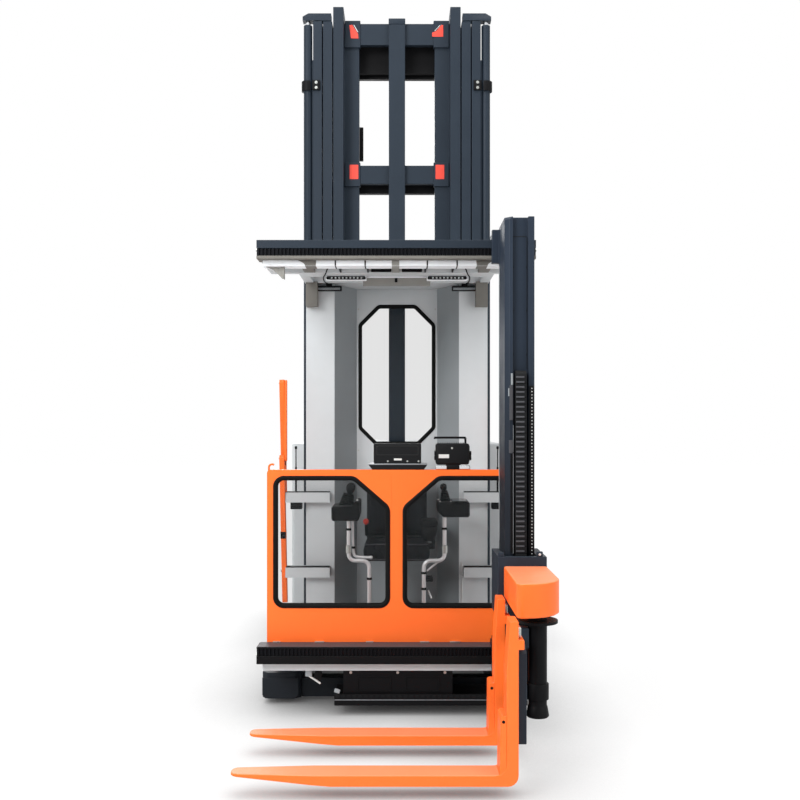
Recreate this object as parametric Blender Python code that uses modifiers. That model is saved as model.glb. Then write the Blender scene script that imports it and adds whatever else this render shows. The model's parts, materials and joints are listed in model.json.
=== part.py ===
"""Man-up turret stacker, built as separate solids: chassis, three-stage mast, operator cab
with toothed traverse rails, auxiliary mast and swivelling forks.

Metres, +Z up, the forks' end towards -Y, the origin on the floor under the middle.
"""

import math

import bmesh
import bpy
from mathutils import Vector

OBJECT_NAME = "turret_stacker"

# Fits between pieces
FIT = 0.0003
SLIDE = 0.0006
CLEAR = 0.006

# Chassis: low front legs, frame under the rear body
LEG_INNER = 0.530
LEG_WIDTH = 0.217
LEG_OUTER = LEG_INNER + LEG_WIDTH
LEG_BOTTOM = 0.030
LEG_TOP = 0.175
LEG_FRONT = -0.690
LEG_BACK = 0.150
LEG_CHAMFER = 0.032
BEAM_FRONT = -0.640
BEAM_DEPTH = 0.100
BEAM_TOP = 0.135
FRAME_INSET = 0.047
FRAME_HALF = LEG_OUTER - FRAME_INSET
FRAME_BOTTOM = 0.060
FRAME_TOP = 0.200
FRAME_BACK = 2.060
FRAME_RADIUS = 0.100

# Load wheels, two in line in each leg
WHEEL_RADIUS = 0.100
WHEEL_WIDTH = 0.100
WHEEL_HUB_RADIUS = 0.034
WHEEL_EDGE = 0.008
WHEEL_FRONT_Y = -0.510
WHEEL_SPACING = 0.220
POCKET_WIDTH = 0.130
POCKET_END_ROOM = 0.020

# Steered drive wheel under the rear body
DRIVE_Y = 1.690
DRIVE_RADIUS = 0.175
DRIVE_WIDTH = 0.130
DRIVE_HUB_RADIUS = 0.060
DRIVE_EDGE = 0.012
STEER_PLATE = 0.035
STEER_DEPTH = 0.140
STEER_BOTTOM = 0.110
STEER_ROOM = 0.035
STEER_HOLE = 0.260
BRIDGE_HALF = 0.340
BRIDGE_PLATE = 0.040
BRIDGE_DEPTH = 0.180
MOTOR_RADIUS = 0.120
MOTOR_HEIGHT = 0.300

# Rear body and battery
BODY_HALF = 0.720
BODY_FRONT = 0.610
BODY_BACK = 2.100
BODY_TOP = 1.420
BODY_WALL = 0.030
BODY_RADIUS = 0.110
BODY_FRONT_RADIUS = 0.020
BATTERY_SIDE_ROOM = 0.090
BATTERY_FRONT_ROOM = 0.030
BATTERY_HALF = BODY_HALF - BODY_WALL - BATTERY_SIDE_ROOM
BATTERY_FRONT = BODY_FRONT + BODY_WALL + BATTERY_FRONT_ROOM
BATTERY_LENGTH = 0.620
BATTERY_HEIGHT = 0.640

# Widths of the cab and of its wall's two columns, which the mast stands behind
CAB_HALF = 0.700
COLUMN_ROOM = 0.133
COLUMN_WIDTH = 0.177
COLUMN_OUTER = CAB_HALF - COLUMN_ROOM
COLUMN_INNER = COLUMN_OUTER - COLUMN_WIDTH
RECESS_SLANT = 0.130
RECESS_HALF = COLUMN_INNER - RECESS_SLANT

# Main mast: the three nested stages, each as |x| and y from the inside out
MAST_TOP = 4.150
INNER_TOP = 4.250
OUTER_WALL = 0.057
OUTER_ROOM = 0.027
OUTER_X = (COLUMN_OUTER - OUTER_ROOM - OUTER_WALL, COLUMN_OUTER - OUTER_ROOM)
OUTER_Y = (0.200, 0.490)
MID_WALL = 0.059
MID_Y = (0.210, 0.430)
INNER_WALL = 0.067
INNER_Y = (0.220, 0.420)
CROSS_DEPTH = 0.040
OUTER_CROSS_Y = 0.475
OUTER_CROSS_Z = ((0.25, 0.60), (3.10, 3.16), (3.87, 4.11))
MID_CROSS_Y = 0.428
MID_CROSS_Z = ((0.25, 0.45), (3.09, 3.15), (3.89, 4.115))
FRONT_WEB = 0.097
FRONT_WEB_Y = (0.320, 0.400)
INNER_CROSS_Z = ((0.25, 0.40), (1.22, 1.34), (2.34, 2.46), (3.13, 3.25), (4.04, 4.18))
END_BLOCK_WIDTH = 0.100
END_BLOCK_ROOM = 0.005
END_BLOCK_PROUD = 0.008
END_BLOCK_MARGIN = 0.018
PILLAR_HALF = 0.053
PILLAR_Y = (0.290, 0.410)
PILLAR_TOP = 4.165

# Lift cylinders beside the outer stage, their rods under the middle stage's brackets
CYLINDER_OFFSET = 0.008
CYLINDER_X = COLUMN_OUTER + CYLINDER_OFFSET
CYLINDER_Y = 0.235
CYLINDER_RADIUS = 0.028
CYLINDER_BORE = 0.021
CYLINDER_FLOOR = 0.020
CYLINDER_TOP = 4.130
COLLAR_RADIUS = 0.034
COLLAR_Z = (3.700, 3.770)
ROD_RADIUS = 0.016
ROD_BOTTOM = 0.300
BRACKET_HEIGHT = 0.046
BRACKET_REACH = 0.033
BRACKET_OUTER = CYLINDER_X + BRACKET_REACH
BRACKET_Y = (0.205, 0.270)

# Cab floor and walls
CAB_FRONT = -0.830
FLOOR_BOTTOM = 0.238
FLOOR_TOP = 0.360
FLOOR_STEP_Y = (-0.120, 0.000)
FLANGE_PROUD = 0.014
FLANGE_HALF = CAB_HALF + FLANGE_PROUD
FLANGE_FRONT = -0.900
COLUMN_Y = 0.010
COLUMN_BACK = 0.160
RECESS_Y = 0.255
WALL = 0.020
WALL_TOP = 2.430
DECK_BACK = 0.280
DECK_TONGUE_ROOM = 0.025
DECK_TONGUE = RECESS_HALF + DECK_TONGUE_ROOM
DECK_NECK_ROOM = 0.052
DECK_NECK = COLUMN_INNER - DECK_NECK_ROOM
GUIDE_Z = (0.500, 1.600)
GUIDE_WIDTH = 0.060
GUIDE_BACK = 0.310

# Front panel with its two windows
PANEL_TOP = 1.308
PANEL_DEPTH = 0.045
PANEL_CORNER = 0.018
WINDOW_POST = 0.037
WINDOW_INNER = WINDOW_POST
WINDOW_OUTER = CAB_HALF - WINDOW_POST
WINDOW_BOTTOM = 0.563
WINDOW_TOP = 1.272
WINDOW_CHAMFER = 0.134
WINDOW_RADIUS = 0.055
CHAMFER_RADIUS = 0.030
GLASS = 0.006
GLASS_SET_BACK = 0.020

# Rear window, eight-sided
REAR_SIDE_ROOM = 0.0225
REAR_HALF = RECESS_HALF - REAR_SIDE_ROOM
REAR_BOTTOM = 1.430
REAR_TOP = 2.317
REAR_TOP_CHAMFER = REAR_HALF * 0.505
REAR_BOTTOM_CHAMFER = REAR_HALF * 0.421
REAR_RADIUS = 0.030

# Roof
ROOF_PROUD = 0.030
ROOF_HALF = CAB_HALF + ROOF_PROUD
ROOF_STEP_Y = -0.400
ROOF_BACK_PROUD = 0.003
ROOF_BACK_HALF = COLUMN_OUTER + ROOF_BACK_PROUD
ROOF_FRAME = 0.045
ROOF_PLATE = 0.020
ROOF_RIM = 0.055
ROOF_RIB = 0.110
ROOF_LIP_BOTTOM = 2.400
HANGER_WIDTH = 0.073
HANGER_ROOM = 0.004
HANGER_DEPTH = 0.070
HANGER_BOTTOM = 2.284

# Traverse rails with their racks
RAIL_PROUD = 0.040
RAIL_HALF = CAB_HALF + RAIL_PROUD
RAIL_FRONT = -0.950
RAIL_HEIGHT = 0.091
LOWER_RAIL_TOP = 0.375
LOWER_RACK_Z = (0.327, 0.366)
UPPER_RAIL_TOP = 2.530
UPPER_RAIL_HEIGHT = 0.100
UPPER_RACK_Z = (2.447, 2.486)
RACK_NOTCH = 0.020
TOOTH_PITCH = 0.020
TOOTH_DEPTH = 0.012
TOOTH_FLANK = 0.002
TOOTH_START = 0.005

# Chain tray and black box under the floor
BOX_X = (-0.283, 0.301)
BOX_Y = (-0.900, -0.665)
BOX_BOTTOM = 0.111
TRAY_LEFT = -0.330
TRAY_Y = (-0.920, -0.705)
TRAY_Z = (0.057, 0.117)
TRAY_WALL = 0.008

# Seat, consoles and screen
SEAT_HALF = 0.210
SEAT_FRONT = -0.340
SEAT_BACK_Y = 0.025
CUSHION_Z = (0.740, 0.850)
BACKREST_Z = 1.240
BACKREST_DEPTH = 0.090
BACKREST_HALF = 0.205
SEAT_BASE_HALF = 0.150
SEAT_BASE_Y = (-0.200, 0.080)
SEAT_STEM_TOP = 0.850
SEAT_STEM = 0.060
SOFT_EDGE = 0.025
CONSOLE_X = {"left": (0.214, 0.381), "right": (0.240, 0.428)}
CONSOLE_Y = (-0.420, -0.160)
CONSOLE_Z = {"left": (0.987, 1.105), "right": (1.009, 1.099)}
CONSOLE_SLOPE = 0.030
TUBE_RADIUS = 0.012
TUBE_BEND = 0.040
STAND_OUTER = 0.281
STAND_INNER = 0.160
STAND_Y = -0.365
STAND_CROSS_Z = 0.752
PANEL_BASE_X = (-0.150, 0.167)
PANEL_BASE_Z = 0.034
PANEL_BASE_DEPTH = 0.150
DESK_X = (-0.123, 0.135)
DESK_HEIGHT = 0.142
DESK_TOP = PANEL_TOP + DESK_HEIGHT
DESK_SLOPE = 0.060
SCREEN_X = (0.207, 0.413)
SCREEN_GAP = 0.027
SCREEN_HEIGHT = 0.115
SCREEN_Z = (PANEL_TOP + SCREEN_GAP, PANEL_TOP + SCREEN_GAP + SCREEN_HEIGHT)
SCREEN_Y = (-0.815, -0.745)
SCREEN_FOOT = 0.080
LIGHT_X = (0.178, 0.418)
LIGHT_Y = -0.345
LIGHT_DEPTH = 0.034
LIGHT_HEIGHT = 0.028

# Side gates: two parallel bars and a link on each side, raised at rest
GATE_REST_DEG = 80.0
GATE_PIVOT_Y = 0.045
GATE_UPPER_Z = 1.100
GATE_LOWER_Z = 0.635
GATE_LENGTH = 0.720
GATE_BAR_WIDTH = 0.032
GATE_BAR_HEIGHT = 0.040
GATE_LINK_WIDTH = 0.014
GATE_LINK_HEIGHT = 0.034
GATE_LINK_FLAT = 0.0017
GATE_TAIL = 0.190
GATE_BRACKET_START = 0.025
GATE_BRACKET_END = 0.0104
GATE_BRACKET_X = (COLUMN_INNER + GATE_BRACKET_START, CAB_HALF - GATE_BRACKET_END)
GATE_BRACKET_Y = -0.050
GATE_BRACKET_HEIGHT = 0.062
GATE_BRACKET_BACK = 0.060

# Auxiliary mast on the rails, at the right end of its travel
AUX_END_ROOM = 0.127
AUX_X = RAIL_HALF - AUX_END_ROOM
AUX_HALF = 0.073
AUX_FRONT = -1.290
AUX_BACK = -0.990
AUX_BOTTOM = 0.200
AUX_TOP = 2.585
AUX_CHAMFER = 0.022
CHANNEL_LEFT = 0.033
CHANNEL_RIGHT = 0.042
CHANNEL_X = (AUX_X - CHANNEL_LEFT, AUX_X + CHANNEL_RIGHT)
CHANNEL_DEPTH = 0.030
SHOE_HALF = 0.110
SHOE_GAP = 0.0065
LOWER_SHOE_Z = (0.240, 0.440)
UPPER_SHOE_Z = (2.400, 2.575)
LIP_THICKNESS = 0.030
LIP_BACK = -0.870

# Energy chain in the channel
CHAIN_WIDTH = 0.055
CHAIN_ROOM = 0.009
CHAIN_X = (CHANNEL_X[0] + CHAIN_ROOM, CHANNEL_X[0] + CHAIN_ROOM + CHAIN_WIDTH)
CHAIN_FRONT = -1.318
CHAIN_Z = (0.700, 1.820)
LINK_PITCH = 0.035
LINK_GROOVE = 0.008
LINK_DEPTH = 0.005

# Auxiliary carriage and swing housing
CARRIAGE_LEFT = 0.116
CARRIAGE_RIGHT = 0.122
CARRIAGE_X = (AUX_X - CARRIAGE_LEFT, AUX_X + CARRIAGE_RIGHT)
CARRIAGE_Z = (0.600, 0.910)
CARRIAGE_PLATE = 0.030
CARRIAGE_FRONT = -1.375
CARRIAGE_BACK = -1.040
PAD_Y = (-1.190, -1.130)
HOUSING_LEFT = 0.088
HOUSING_RIGHT = 0.122
HOUSING_X = (AUX_X - HOUSING_LEFT, AUX_X + HOUSING_RIGHT)
HOUSING_LENGTH = 0.545
HOUSING_FRONT = CARRIAGE_FRONT - HOUSING_LENGTH
HOUSING_Z = (0.713, 0.865)
HOUSING_RADIUS = 0.175
HOUSING_SMALL_RADIUS = 0.030

# Vertical pivot with the fork carriage and forks
PIVOT_OFFSET = 0.022
PIVOT_X = AUX_X + PIVOT_OFFSET
PIVOT_ROOM = 0.150
PIVOT_Y = HOUSING_FRONT + PIVOT_ROOM
PIVOT_RADIUS = 0.042
PIVOT_BOTTOM = 0.250
PIVOT_FOOT = (0.051, 0.300)
PIVOT_COLLAR = (0.050, 0.330, 0.400)
PIVOT_FLANGE = (0.090, 0.670, 0.684)
HEEL_OFFSET = 0.123
FORK_HEEL_X = PIVOT_X - HEEL_OFFSET
FORK_THICKNESS = 0.050
FORK_LENGTH = 1.202
FORK_WIDTH = 0.130
FORK_BOTTOM = 0.053
FORK_BLADE = 0.047
FORK_TIP = 0.012
FORK_TAPER = 0.420
FORK_TIP_HALF = 0.040
FORK_TIP_ROUND = 0.80
FORK_TOP = 0.737
FORK_TOP_THICKNESS = 0.036
FORK_HEEL_RADIUS = 0.045
FORK_SPREAD = 0.265
HOOK_DEPTH = 0.024
HOOK_HEIGHT = 0.040
FORK_CARRIAGE_HALF = 0.270
FORK_CARRIAGE_Z = (0.210, 0.620)
FORK_CARRIAGE_DEPTH = 0.040
FORK_CARRIAGE_BAR = 0.090
FORK_CARRIAGE_POST = 0.060
FORK_CARRIAGE_CHAMFER = 0.030
ARM_HALF = 0.035
ARM_UPPER_Z = (0.560, 0.650)

# Round parts
SEGMENTS = 32
FINE_SEGMENTS = 24
ARC_STEPS = 5
CUT_ROOM = 0.050

# Name: (base colour, roughness, metallic)
FINISHES = {
    "orange_paint": ((0.95, 0.18, 0.05), 0.38, 0.0),
    "grey_paint": ((0.58, 0.60, 0.60), 0.45, 0.0),
    "mast_paint": ((0.048, 0.060, 0.078), 0.45, 0.0),
    "black_paint": ((0.010, 0.010, 0.011), 0.50, 0.0),
    "rack_steel": ((0.020, 0.021, 0.023), 0.42, 0.6),
    "black_plastic": ((0.012, 0.012, 0.013), 0.48, 0.0),
    "seat_fabric": ((0.020, 0.020, 0.022), 0.85, 0.0),
    "chrome": ((0.78, 0.79, 0.80), 0.12, 1.0),
    "glass": ((0.80, 0.86, 0.86), 0.05, 0.0),
    "wheel_tyre": ((0.030, 0.028, 0.026), 0.60, 0.0),
    "lamp": ((0.75, 0.76, 0.74), 0.20, 0.0),
}

AXIS_TURN = {"X": (math.pi / 2, 0.0, math.pi / 2), "Y": (math.pi / 2, 0.0, 0.0), "Z": (0.0, 0.0, 0.0)}


def clear_scene():
    """Remove every object that the file opened with."""
    for item in list(bpy.data.objects):
        bpy.data.objects.remove(item, do_unlink=True)


def new_collection(name):
    """A collection of this name, linked to the scene."""
    made = bpy.data.collections.new(name)
    bpy.context.scene.collection.children.link(made)
    return made


def new_material(name, colour, roughness, metallic):
    """A Principled material with one colour."""
    made = bpy.data.materials.new(name)
    made.use_nodes = True
    shader = made.node_tree.nodes["Principled BSDF"]
    shader.inputs["Base Color"].default_value = (*colour, 1.0)
    shader.inputs["Roughness"].default_value = roughness
    shader.inputs["Metallic"].default_value = metallic
    return made


clear_scene()
PARTS = new_collection(OBJECT_NAME)
CUTTERS = new_collection("cutters")
MATERIALS = {name: new_material(name, *values) for name, values in FINISHES.items()}


def place(name, data, centre, finish, turn=(0.0, 0.0, 0.0)):
    """Link an object of this data among the parts, with its finish."""
    made = bpy.data.objects.new(name, data)
    made.location = centre
    made.rotation_euler = turn
    data.materials.append(MATERIALS[finish])
    PARTS.objects.link(made)
    return made


def add_box(name, low, high, finish):
    """A box between two corners, its origin at its centre."""
    low, high = Vector(low), Vector(high)
    mesh = bpy.data.meshes.new(name)
    shape = bmesh.new()
    bmesh.ops.create_cube(shape, size=1.0)
    bmesh.ops.scale(shape, vec=high - low, verts=shape.verts)
    shape.to_mesh(mesh)
    shape.free()
    return place(name, mesh, (low + high) / 2, finish)


def add_outline(name, loops, low, high, axis, finish):
    """Flat outlines, filled on both sides and extruded from low to high along an axis.

    Along Z the points are (x, y), along Y they are (x, z) and along X they are (y, z).
    """
    curve = bpy.data.curves.new(name, "CURVE")
    curve.dimensions = "2D"
    curve.fill_mode = "BOTH"
    curve.extrude = (high - low) / 2
    for loop in loops:
        spline = curve.splines.new("POLY")
        spline.points.add(len(loop) - 1)
        for point, (u, v) in zip(spline.points, loop):
            point.co = (u, v, 0.0, 1.0)
        spline.use_cyclic_u = True
    centre = Vector((0.0, 0.0, 0.0))
    centre["XYZ".index(axis)] = (low + high) / 2
    return place(name, curve, centre, finish, AXIS_TURN[axis])


def add_turned(name, profile, centre, axis, finish, segments=SEGMENTS):
    """A profile of (radius, height) points, top to bottom, turned about an axis."""
    mesh = bpy.data.meshes.new(name)
    edges = [(i, i + 1) for i in range(len(profile) - 1)]
    mesh.from_pydata([(radius, 0.0, height) for radius, height in profile], edges, [])
    turn = (0.0, math.pi / 2, 0.0) if axis == "X" else (0.0, 0.0, 0.0)
    made = place(name, mesh, centre, finish, turn)
    screw = made.modifiers.new("turn", "SCREW")
    screw.steps = segments
    screw.render_steps = segments
    screw.use_merge_vertices = True
    screw.merge_threshold = 0.0001
    screw.use_smooth_shade = True
    return made


def add_tube(name, points, radius, finish):
    """A round tube with filled caps through a list of points."""
    curve = bpy.data.curves.new(name, "CURVE")
    curve.dimensions = "3D"
    curve.bevel_depth = radius
    curve.bevel_resolution = 2
    curve.use_fill_caps = True
    spline = curve.splines.new("POLY")
    spline.points.add(len(points) - 1)
    for point, place_at in zip(spline.points, points):
        point.co = (*place_at, 1.0)
    return place(name, curve, (0.0, 0.0, 0.0), finish)


def make_mesh(item):
    """Turn a curve object or a turned profile into a welded mesh in the same place."""
    bpy.context.view_layer.update()
    graph = bpy.context.evaluated_depsgraph_get()
    mesh = bpy.data.meshes.new_from_object(item.evaluated_get(graph))
    shape = bmesh.new()
    shape.from_mesh(mesh)
    bmesh.ops.remove_doubles(shape, verts=shape.verts, dist=0.00001)
    shape.to_mesh(mesh)
    shape.free()
    name, matrix = item.name, item.matrix_world.copy()
    bpy.data.objects.remove(item, do_unlink=True)
    made = bpy.data.objects.new(name, mesh)
    made.matrix_world = matrix
    PARTS.objects.link(made)
    return made


def combine(base, others, operation):
    """Join solids to a base, or cut them from it, by one Boolean each."""
    for other in others:
        if other.type == "CURVE":
            other = make_mesh(other)
        other.name = f"{base.name}_{operation.lower()}"
        PARTS.objects.unlink(other)
        CUTTERS.objects.link(other)
        other.hide_render = True
        other.display_type = "WIRE"
        step = base.modifiers.new(other.name, "BOOLEAN")
        step.operation = operation
        step.solver = "EXACT"
        step.object = other
    return base


def soften(item, width, segments=2):
    """Round the edges of a piece."""
    bevel = item.modifiers.new("edges", "BEVEL")
    bevel.width = width
    bevel.segments = segments
    bevel.limit_method = "ANGLE"
    return item


def carry(pivot, items):
    """Parent pieces to an empty on their joint's axis, without moving them."""
    empty = bpy.data.objects.new(f"{items[0].name}_axis", None)
    empty.location = pivot
    PARTS.objects.link(empty)
    for item in items:
        item.parent = empty
        item.location = item.location - Vector(pivot)
    return empty


def rounded(corners, radii):
    """Corner points of an outline with each corner turned into an arc of its radius."""
    points = []
    count = len(corners)
    for index, (corner, radius) in enumerate(zip(corners, radii)):
        here = Vector(corner)
        before = (Vector(corners[index - 1]) - here).normalized()
        after = (Vector(corners[(index + 1) % count]) - here).normalized()
        if radius <= 0.0:
            points.append(tuple(here))
            continue
        half = before.angle(after) / 2
        centre = here + (before + after).normalized() * (radius / math.sin(half))
        start = here + before * (radius / math.tan(half)) - centre
        sweep = start.angle_signed(here + after * (radius / math.tan(half)) - centre)
        for step in range(ARC_STEPS + 1):
            turn = -sweep * step / ARC_STEPS
            points.append((
                centre.x + start.x * math.cos(turn) - start.y * math.sin(turn),
                centre.y + start.x * math.sin(turn) + start.y * math.cos(turn),
            ))
    return points


def rectangle(low, high, radius=0.0):
    """A rectangle between two corners, counter-clockwise, with one corner radius."""
    corners = [low, (high[0], low[1]), high, (low[0], high[1])]
    return rounded(corners, [radius] * len(corners))


def inset(corners, radii, distance):
    """Move each side of a counter-clockwise outline inwards by a distance."""
    moved = []
    count = len(corners)
    for index in range(count):
        here = Vector(corners[index])
        back = (here - Vector(corners[index - 1])).normalized()
        ahead = (Vector(corners[(index + 1) % count]) - here).normalized()
        normal_back = Vector((-back.y, back.x))
        normal_ahead = Vector((-ahead.y, ahead.x))
        both = (normal_back + normal_ahead).normalized()
        moved.append(tuple(here + both * (distance / both.dot(normal_back))))
    return moved, [max(radius - distance, 0.0) for radius in radii]


def mirrored(half):
    """A half outline, at x >= 0 from front to back, closed by its mirror image."""
    return half + [(-x, y) for x, y in reversed(half)]


def side_span(side, low, high):
    """The two x values of a span on one side of the truck, lowest first."""
    return (low, high) if side > 0 else (-high, -low)


def circle(centre, radius, segments=SEGMENTS):
    """Points of a circle."""
    steps = [2 * math.pi * index / segments for index in range(segments)]
    return [(centre[0] + radius * math.cos(a), centre[1] + radius * math.sin(a)) for a in steps]


SIGNS = (-1, 1)
SIDES = (("left", -1), ("right", 1))
WHEEL_ROWS = (("front", WHEEL_FRONT_Y), ("rear", WHEEL_FRONT_Y + WHEEL_SPACING))
LEG_CENTRE = (LEG_INNER + LEG_OUTER) / 2
MID_X = (OUTER_X[0] - CLEAR - MID_WALL, OUTER_X[0] - CLEAR)
INNER_X = (MID_X[0] - CLEAR - INNER_WALL, MID_X[0] - CLEAR)
STAGE_BOTTOM = FRAME_TOP + FIT
ROOF_BOTTOM = WALL_TOP + FIT
RAIL_BACK = CAB_FRONT
PANEL_FRONT = CAB_FRONT + FIT


def build_legs():
    """Front legs, each with an open pocket for two wheels, and the beam between them."""
    pocket_front = WHEEL_FRONT_Y - WHEEL_RADIUS - POCKET_END_ROOM
    pocket_back = WHEEL_FRONT_Y + WHEEL_SPACING + WHEEL_RADIUS + POCKET_END_ROOM
    for name, side in SIDES:
        outer = [(LEG_INNER + LEG_CHAMFER, LEG_FRONT), (LEG_OUTER - LEG_CHAMFER, LEG_FRONT),
                 (LEG_OUTER, LEG_FRONT + LEG_CHAMFER), (LEG_OUTER, LEG_BACK),
                 (LEG_INNER, LEG_BACK), (LEG_INNER, LEG_FRONT + LEG_CHAMFER)]
        pocket = rectangle((LEG_CENTRE - POCKET_WIDTH / 2, pocket_front),
                           (LEG_CENTRE + POCKET_WIDTH / 2, pocket_back))
        loops = [[(side * x, y) for x, y in loop] for loop in (outer, pocket)]
        add_outline(f"leg_{name}", loops, LEG_BOTTOM, LEG_TOP, "Z", "mast_paint")
    half = LEG_INNER - FIT
    add_box("front_beam", (-half, BEAM_FRONT, LEG_BOTTOM),
            (half, BEAM_FRONT + BEAM_DEPTH, BEAM_TOP), "mast_paint")


def wheel_profile(radius, width, hub_radius, hub_length, edge):
    """Profile of a wheel with bevelled tread edges and a hub that sticks out on both sides."""
    half, hub = width / 2, hub_length / 2
    upper = [(0.0, hub), (hub_radius, hub), (hub_radius, half),
             (radius - edge, half), (radius, half - edge)]
    return upper + [(r, -h) for r, h in reversed(upper)]


def build_load_wheels():
    """Four load wheels on their own axles, two in line in each leg."""
    hub_length = POCKET_WIDTH - 2 * SLIDE
    for name, side in SIDES:
        for row, y in WHEEL_ROWS:
            centre = (side * LEG_CENTRE, y, WHEEL_RADIUS)
            profile = wheel_profile(WHEEL_RADIUS, WHEEL_WIDTH, WHEEL_HUB_RADIUS,
                                    hub_length, WHEEL_EDGE)
            add_turned(f"load_wheel_{row}_{name}", profile, centre, "X", "wheel_tyre")


def build_chassis_frame():
    """Rear frame with a round hole over the drive wheel and a bridge that carries it."""
    front = LEG_BACK + FIT
    outer = rounded([(-FRAME_HALF, front), (FRAME_HALF, front),
                     (FRAME_HALF, FRAME_BACK), (-FRAME_HALF, FRAME_BACK)],
                    [0.0, 0.0, FRAME_RADIUS, FRAME_RADIUS])
    frame = add_outline("chassis_frame", [outer, circle((0.0, DRIVE_Y), STEER_HOLE)],
                        FRAME_BOTTOM, FRAME_TOP, "Z", "mast_paint")
    frame = make_mesh(frame)
    steer_top = 2 * DRIVE_RADIUS + STEER_ROOM + STEER_PLATE
    plate_bottom = steer_top + SLIDE
    plate_top = plate_bottom + BRIDGE_PLATE
    inner = BRIDGE_HALF - BRIDGE_PLATE
    foot = (FRAME_BOTTOM + FRAME_TOP) / 2
    shape = [(-BRIDGE_HALF, foot), (-inner, foot), (-inner, plate_bottom), (inner, plate_bottom),
             (inner, foot), (BRIDGE_HALF, foot), (BRIDGE_HALF, plate_top),
             (-BRIDGE_HALF, plate_top)]
    bridge = add_outline("bridge", [shape], DRIVE_Y - BRIDGE_DEPTH / 2,
                         DRIVE_Y + BRIDGE_DEPTH / 2, "Y", "mast_paint")
    combine(frame, [bridge], "UNION")
    motor_bottom = plate_top + FIT
    add_turned("drive_motor", [(0.0, MOTOR_HEIGHT), (MOTOR_RADIUS, MOTOR_HEIGHT),
                               (MOTOR_RADIUS, 0.0), (0.0, 0.0)],
               (0.0, DRIVE_Y, motor_bottom), "Z", "black_paint", FINE_SEGMENTS)


def build_drive():
    """Steered fork over the drive wheel, and the wheel between its legs."""
    top = 2 * DRIVE_RADIUS + STEER_ROOM + STEER_PLATE
    inner = DRIVE_WIDTH / 2 + CLEAR + SLIDE
    outer = inner + STEER_PLATE
    shape = [(-outer, STEER_BOTTOM), (-inner, STEER_BOTTOM), (-inner, top - STEER_PLATE),
             (inner, top - STEER_PLATE), (inner, STEER_BOTTOM), (outer, STEER_BOTTOM),
             (outer, top), (-outer, top)]
    steer = add_outline("steer_unit", [shape], DRIVE_Y - STEER_DEPTH / 2,
                        DRIVE_Y + STEER_DEPTH / 2, "Y", "mast_paint")
    profile = wheel_profile(DRIVE_RADIUS, DRIVE_WIDTH, DRIVE_HUB_RADIUS,
                            2 * (inner - SLIDE), DRIVE_EDGE)
    wheel = add_turned("drive_wheel", profile, (0.0, DRIVE_Y, DRIVE_RADIUS), "X", "wheel_tyre")
    carry((0.0, DRIVE_Y, DRIVE_RADIUS), [steer, wheel])


def build_rear_body():
    """Hollow rear body, open below, over the battery."""
    bottom = FRAME_TOP + FIT
    radii = [BODY_FRONT_RADIUS, BODY_FRONT_RADIUS, BODY_RADIUS, BODY_RADIUS]
    corners = [(-BODY_HALF, BODY_FRONT), (BODY_HALF, BODY_FRONT),
               (BODY_HALF, BODY_BACK), (-BODY_HALF, BODY_BACK)]
    body = make_mesh(add_outline("rear_body", [rounded(corners, radii)],
                                 bottom, BODY_TOP, "Z", "grey_paint"))
    hollow = add_outline("hollow", [rounded(*inset(corners, radii, BODY_WALL))],
                         bottom - CUT_ROOM, BODY_TOP - BODY_WALL, "Z", "grey_paint")
    combine(body, [hollow], "DIFFERENCE")
    add_box("battery_pack", (-BATTERY_HALF, BATTERY_FRONT, bottom),
            (BATTERY_HALF, BATTERY_FRONT + BATTERY_LENGTH, bottom + BATTERY_HEIGHT),
            "black_paint")


def build_stage(name, x_span, y_span, top, cross_y, cross_rows):
    """One mast stage: two uprights joined by cross members behind the stages inside it."""
    base = None
    extras = []
    for row, (low, high) in enumerate(cross_rows):
        bar = add_box(f"bar_{row}", (-x_span[1] + CLEAR, cross_y, low),
                      (x_span[1] - CLEAR, cross_y + CROSS_DEPTH, high), "mast_paint")
        extras.append(bar)
    for side in SIGNS:
        low, high = side_span(side, *x_span)
        upright = add_box(name if side < 0 else "upright", (low, y_span[0], STAGE_BOTTOM),
                          (high, y_span[1], top), "mast_paint")
        if side < 0:
            base = upright
        else:
            extras.append(upright)
    combine(base, extras, "UNION")
    return base


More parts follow.
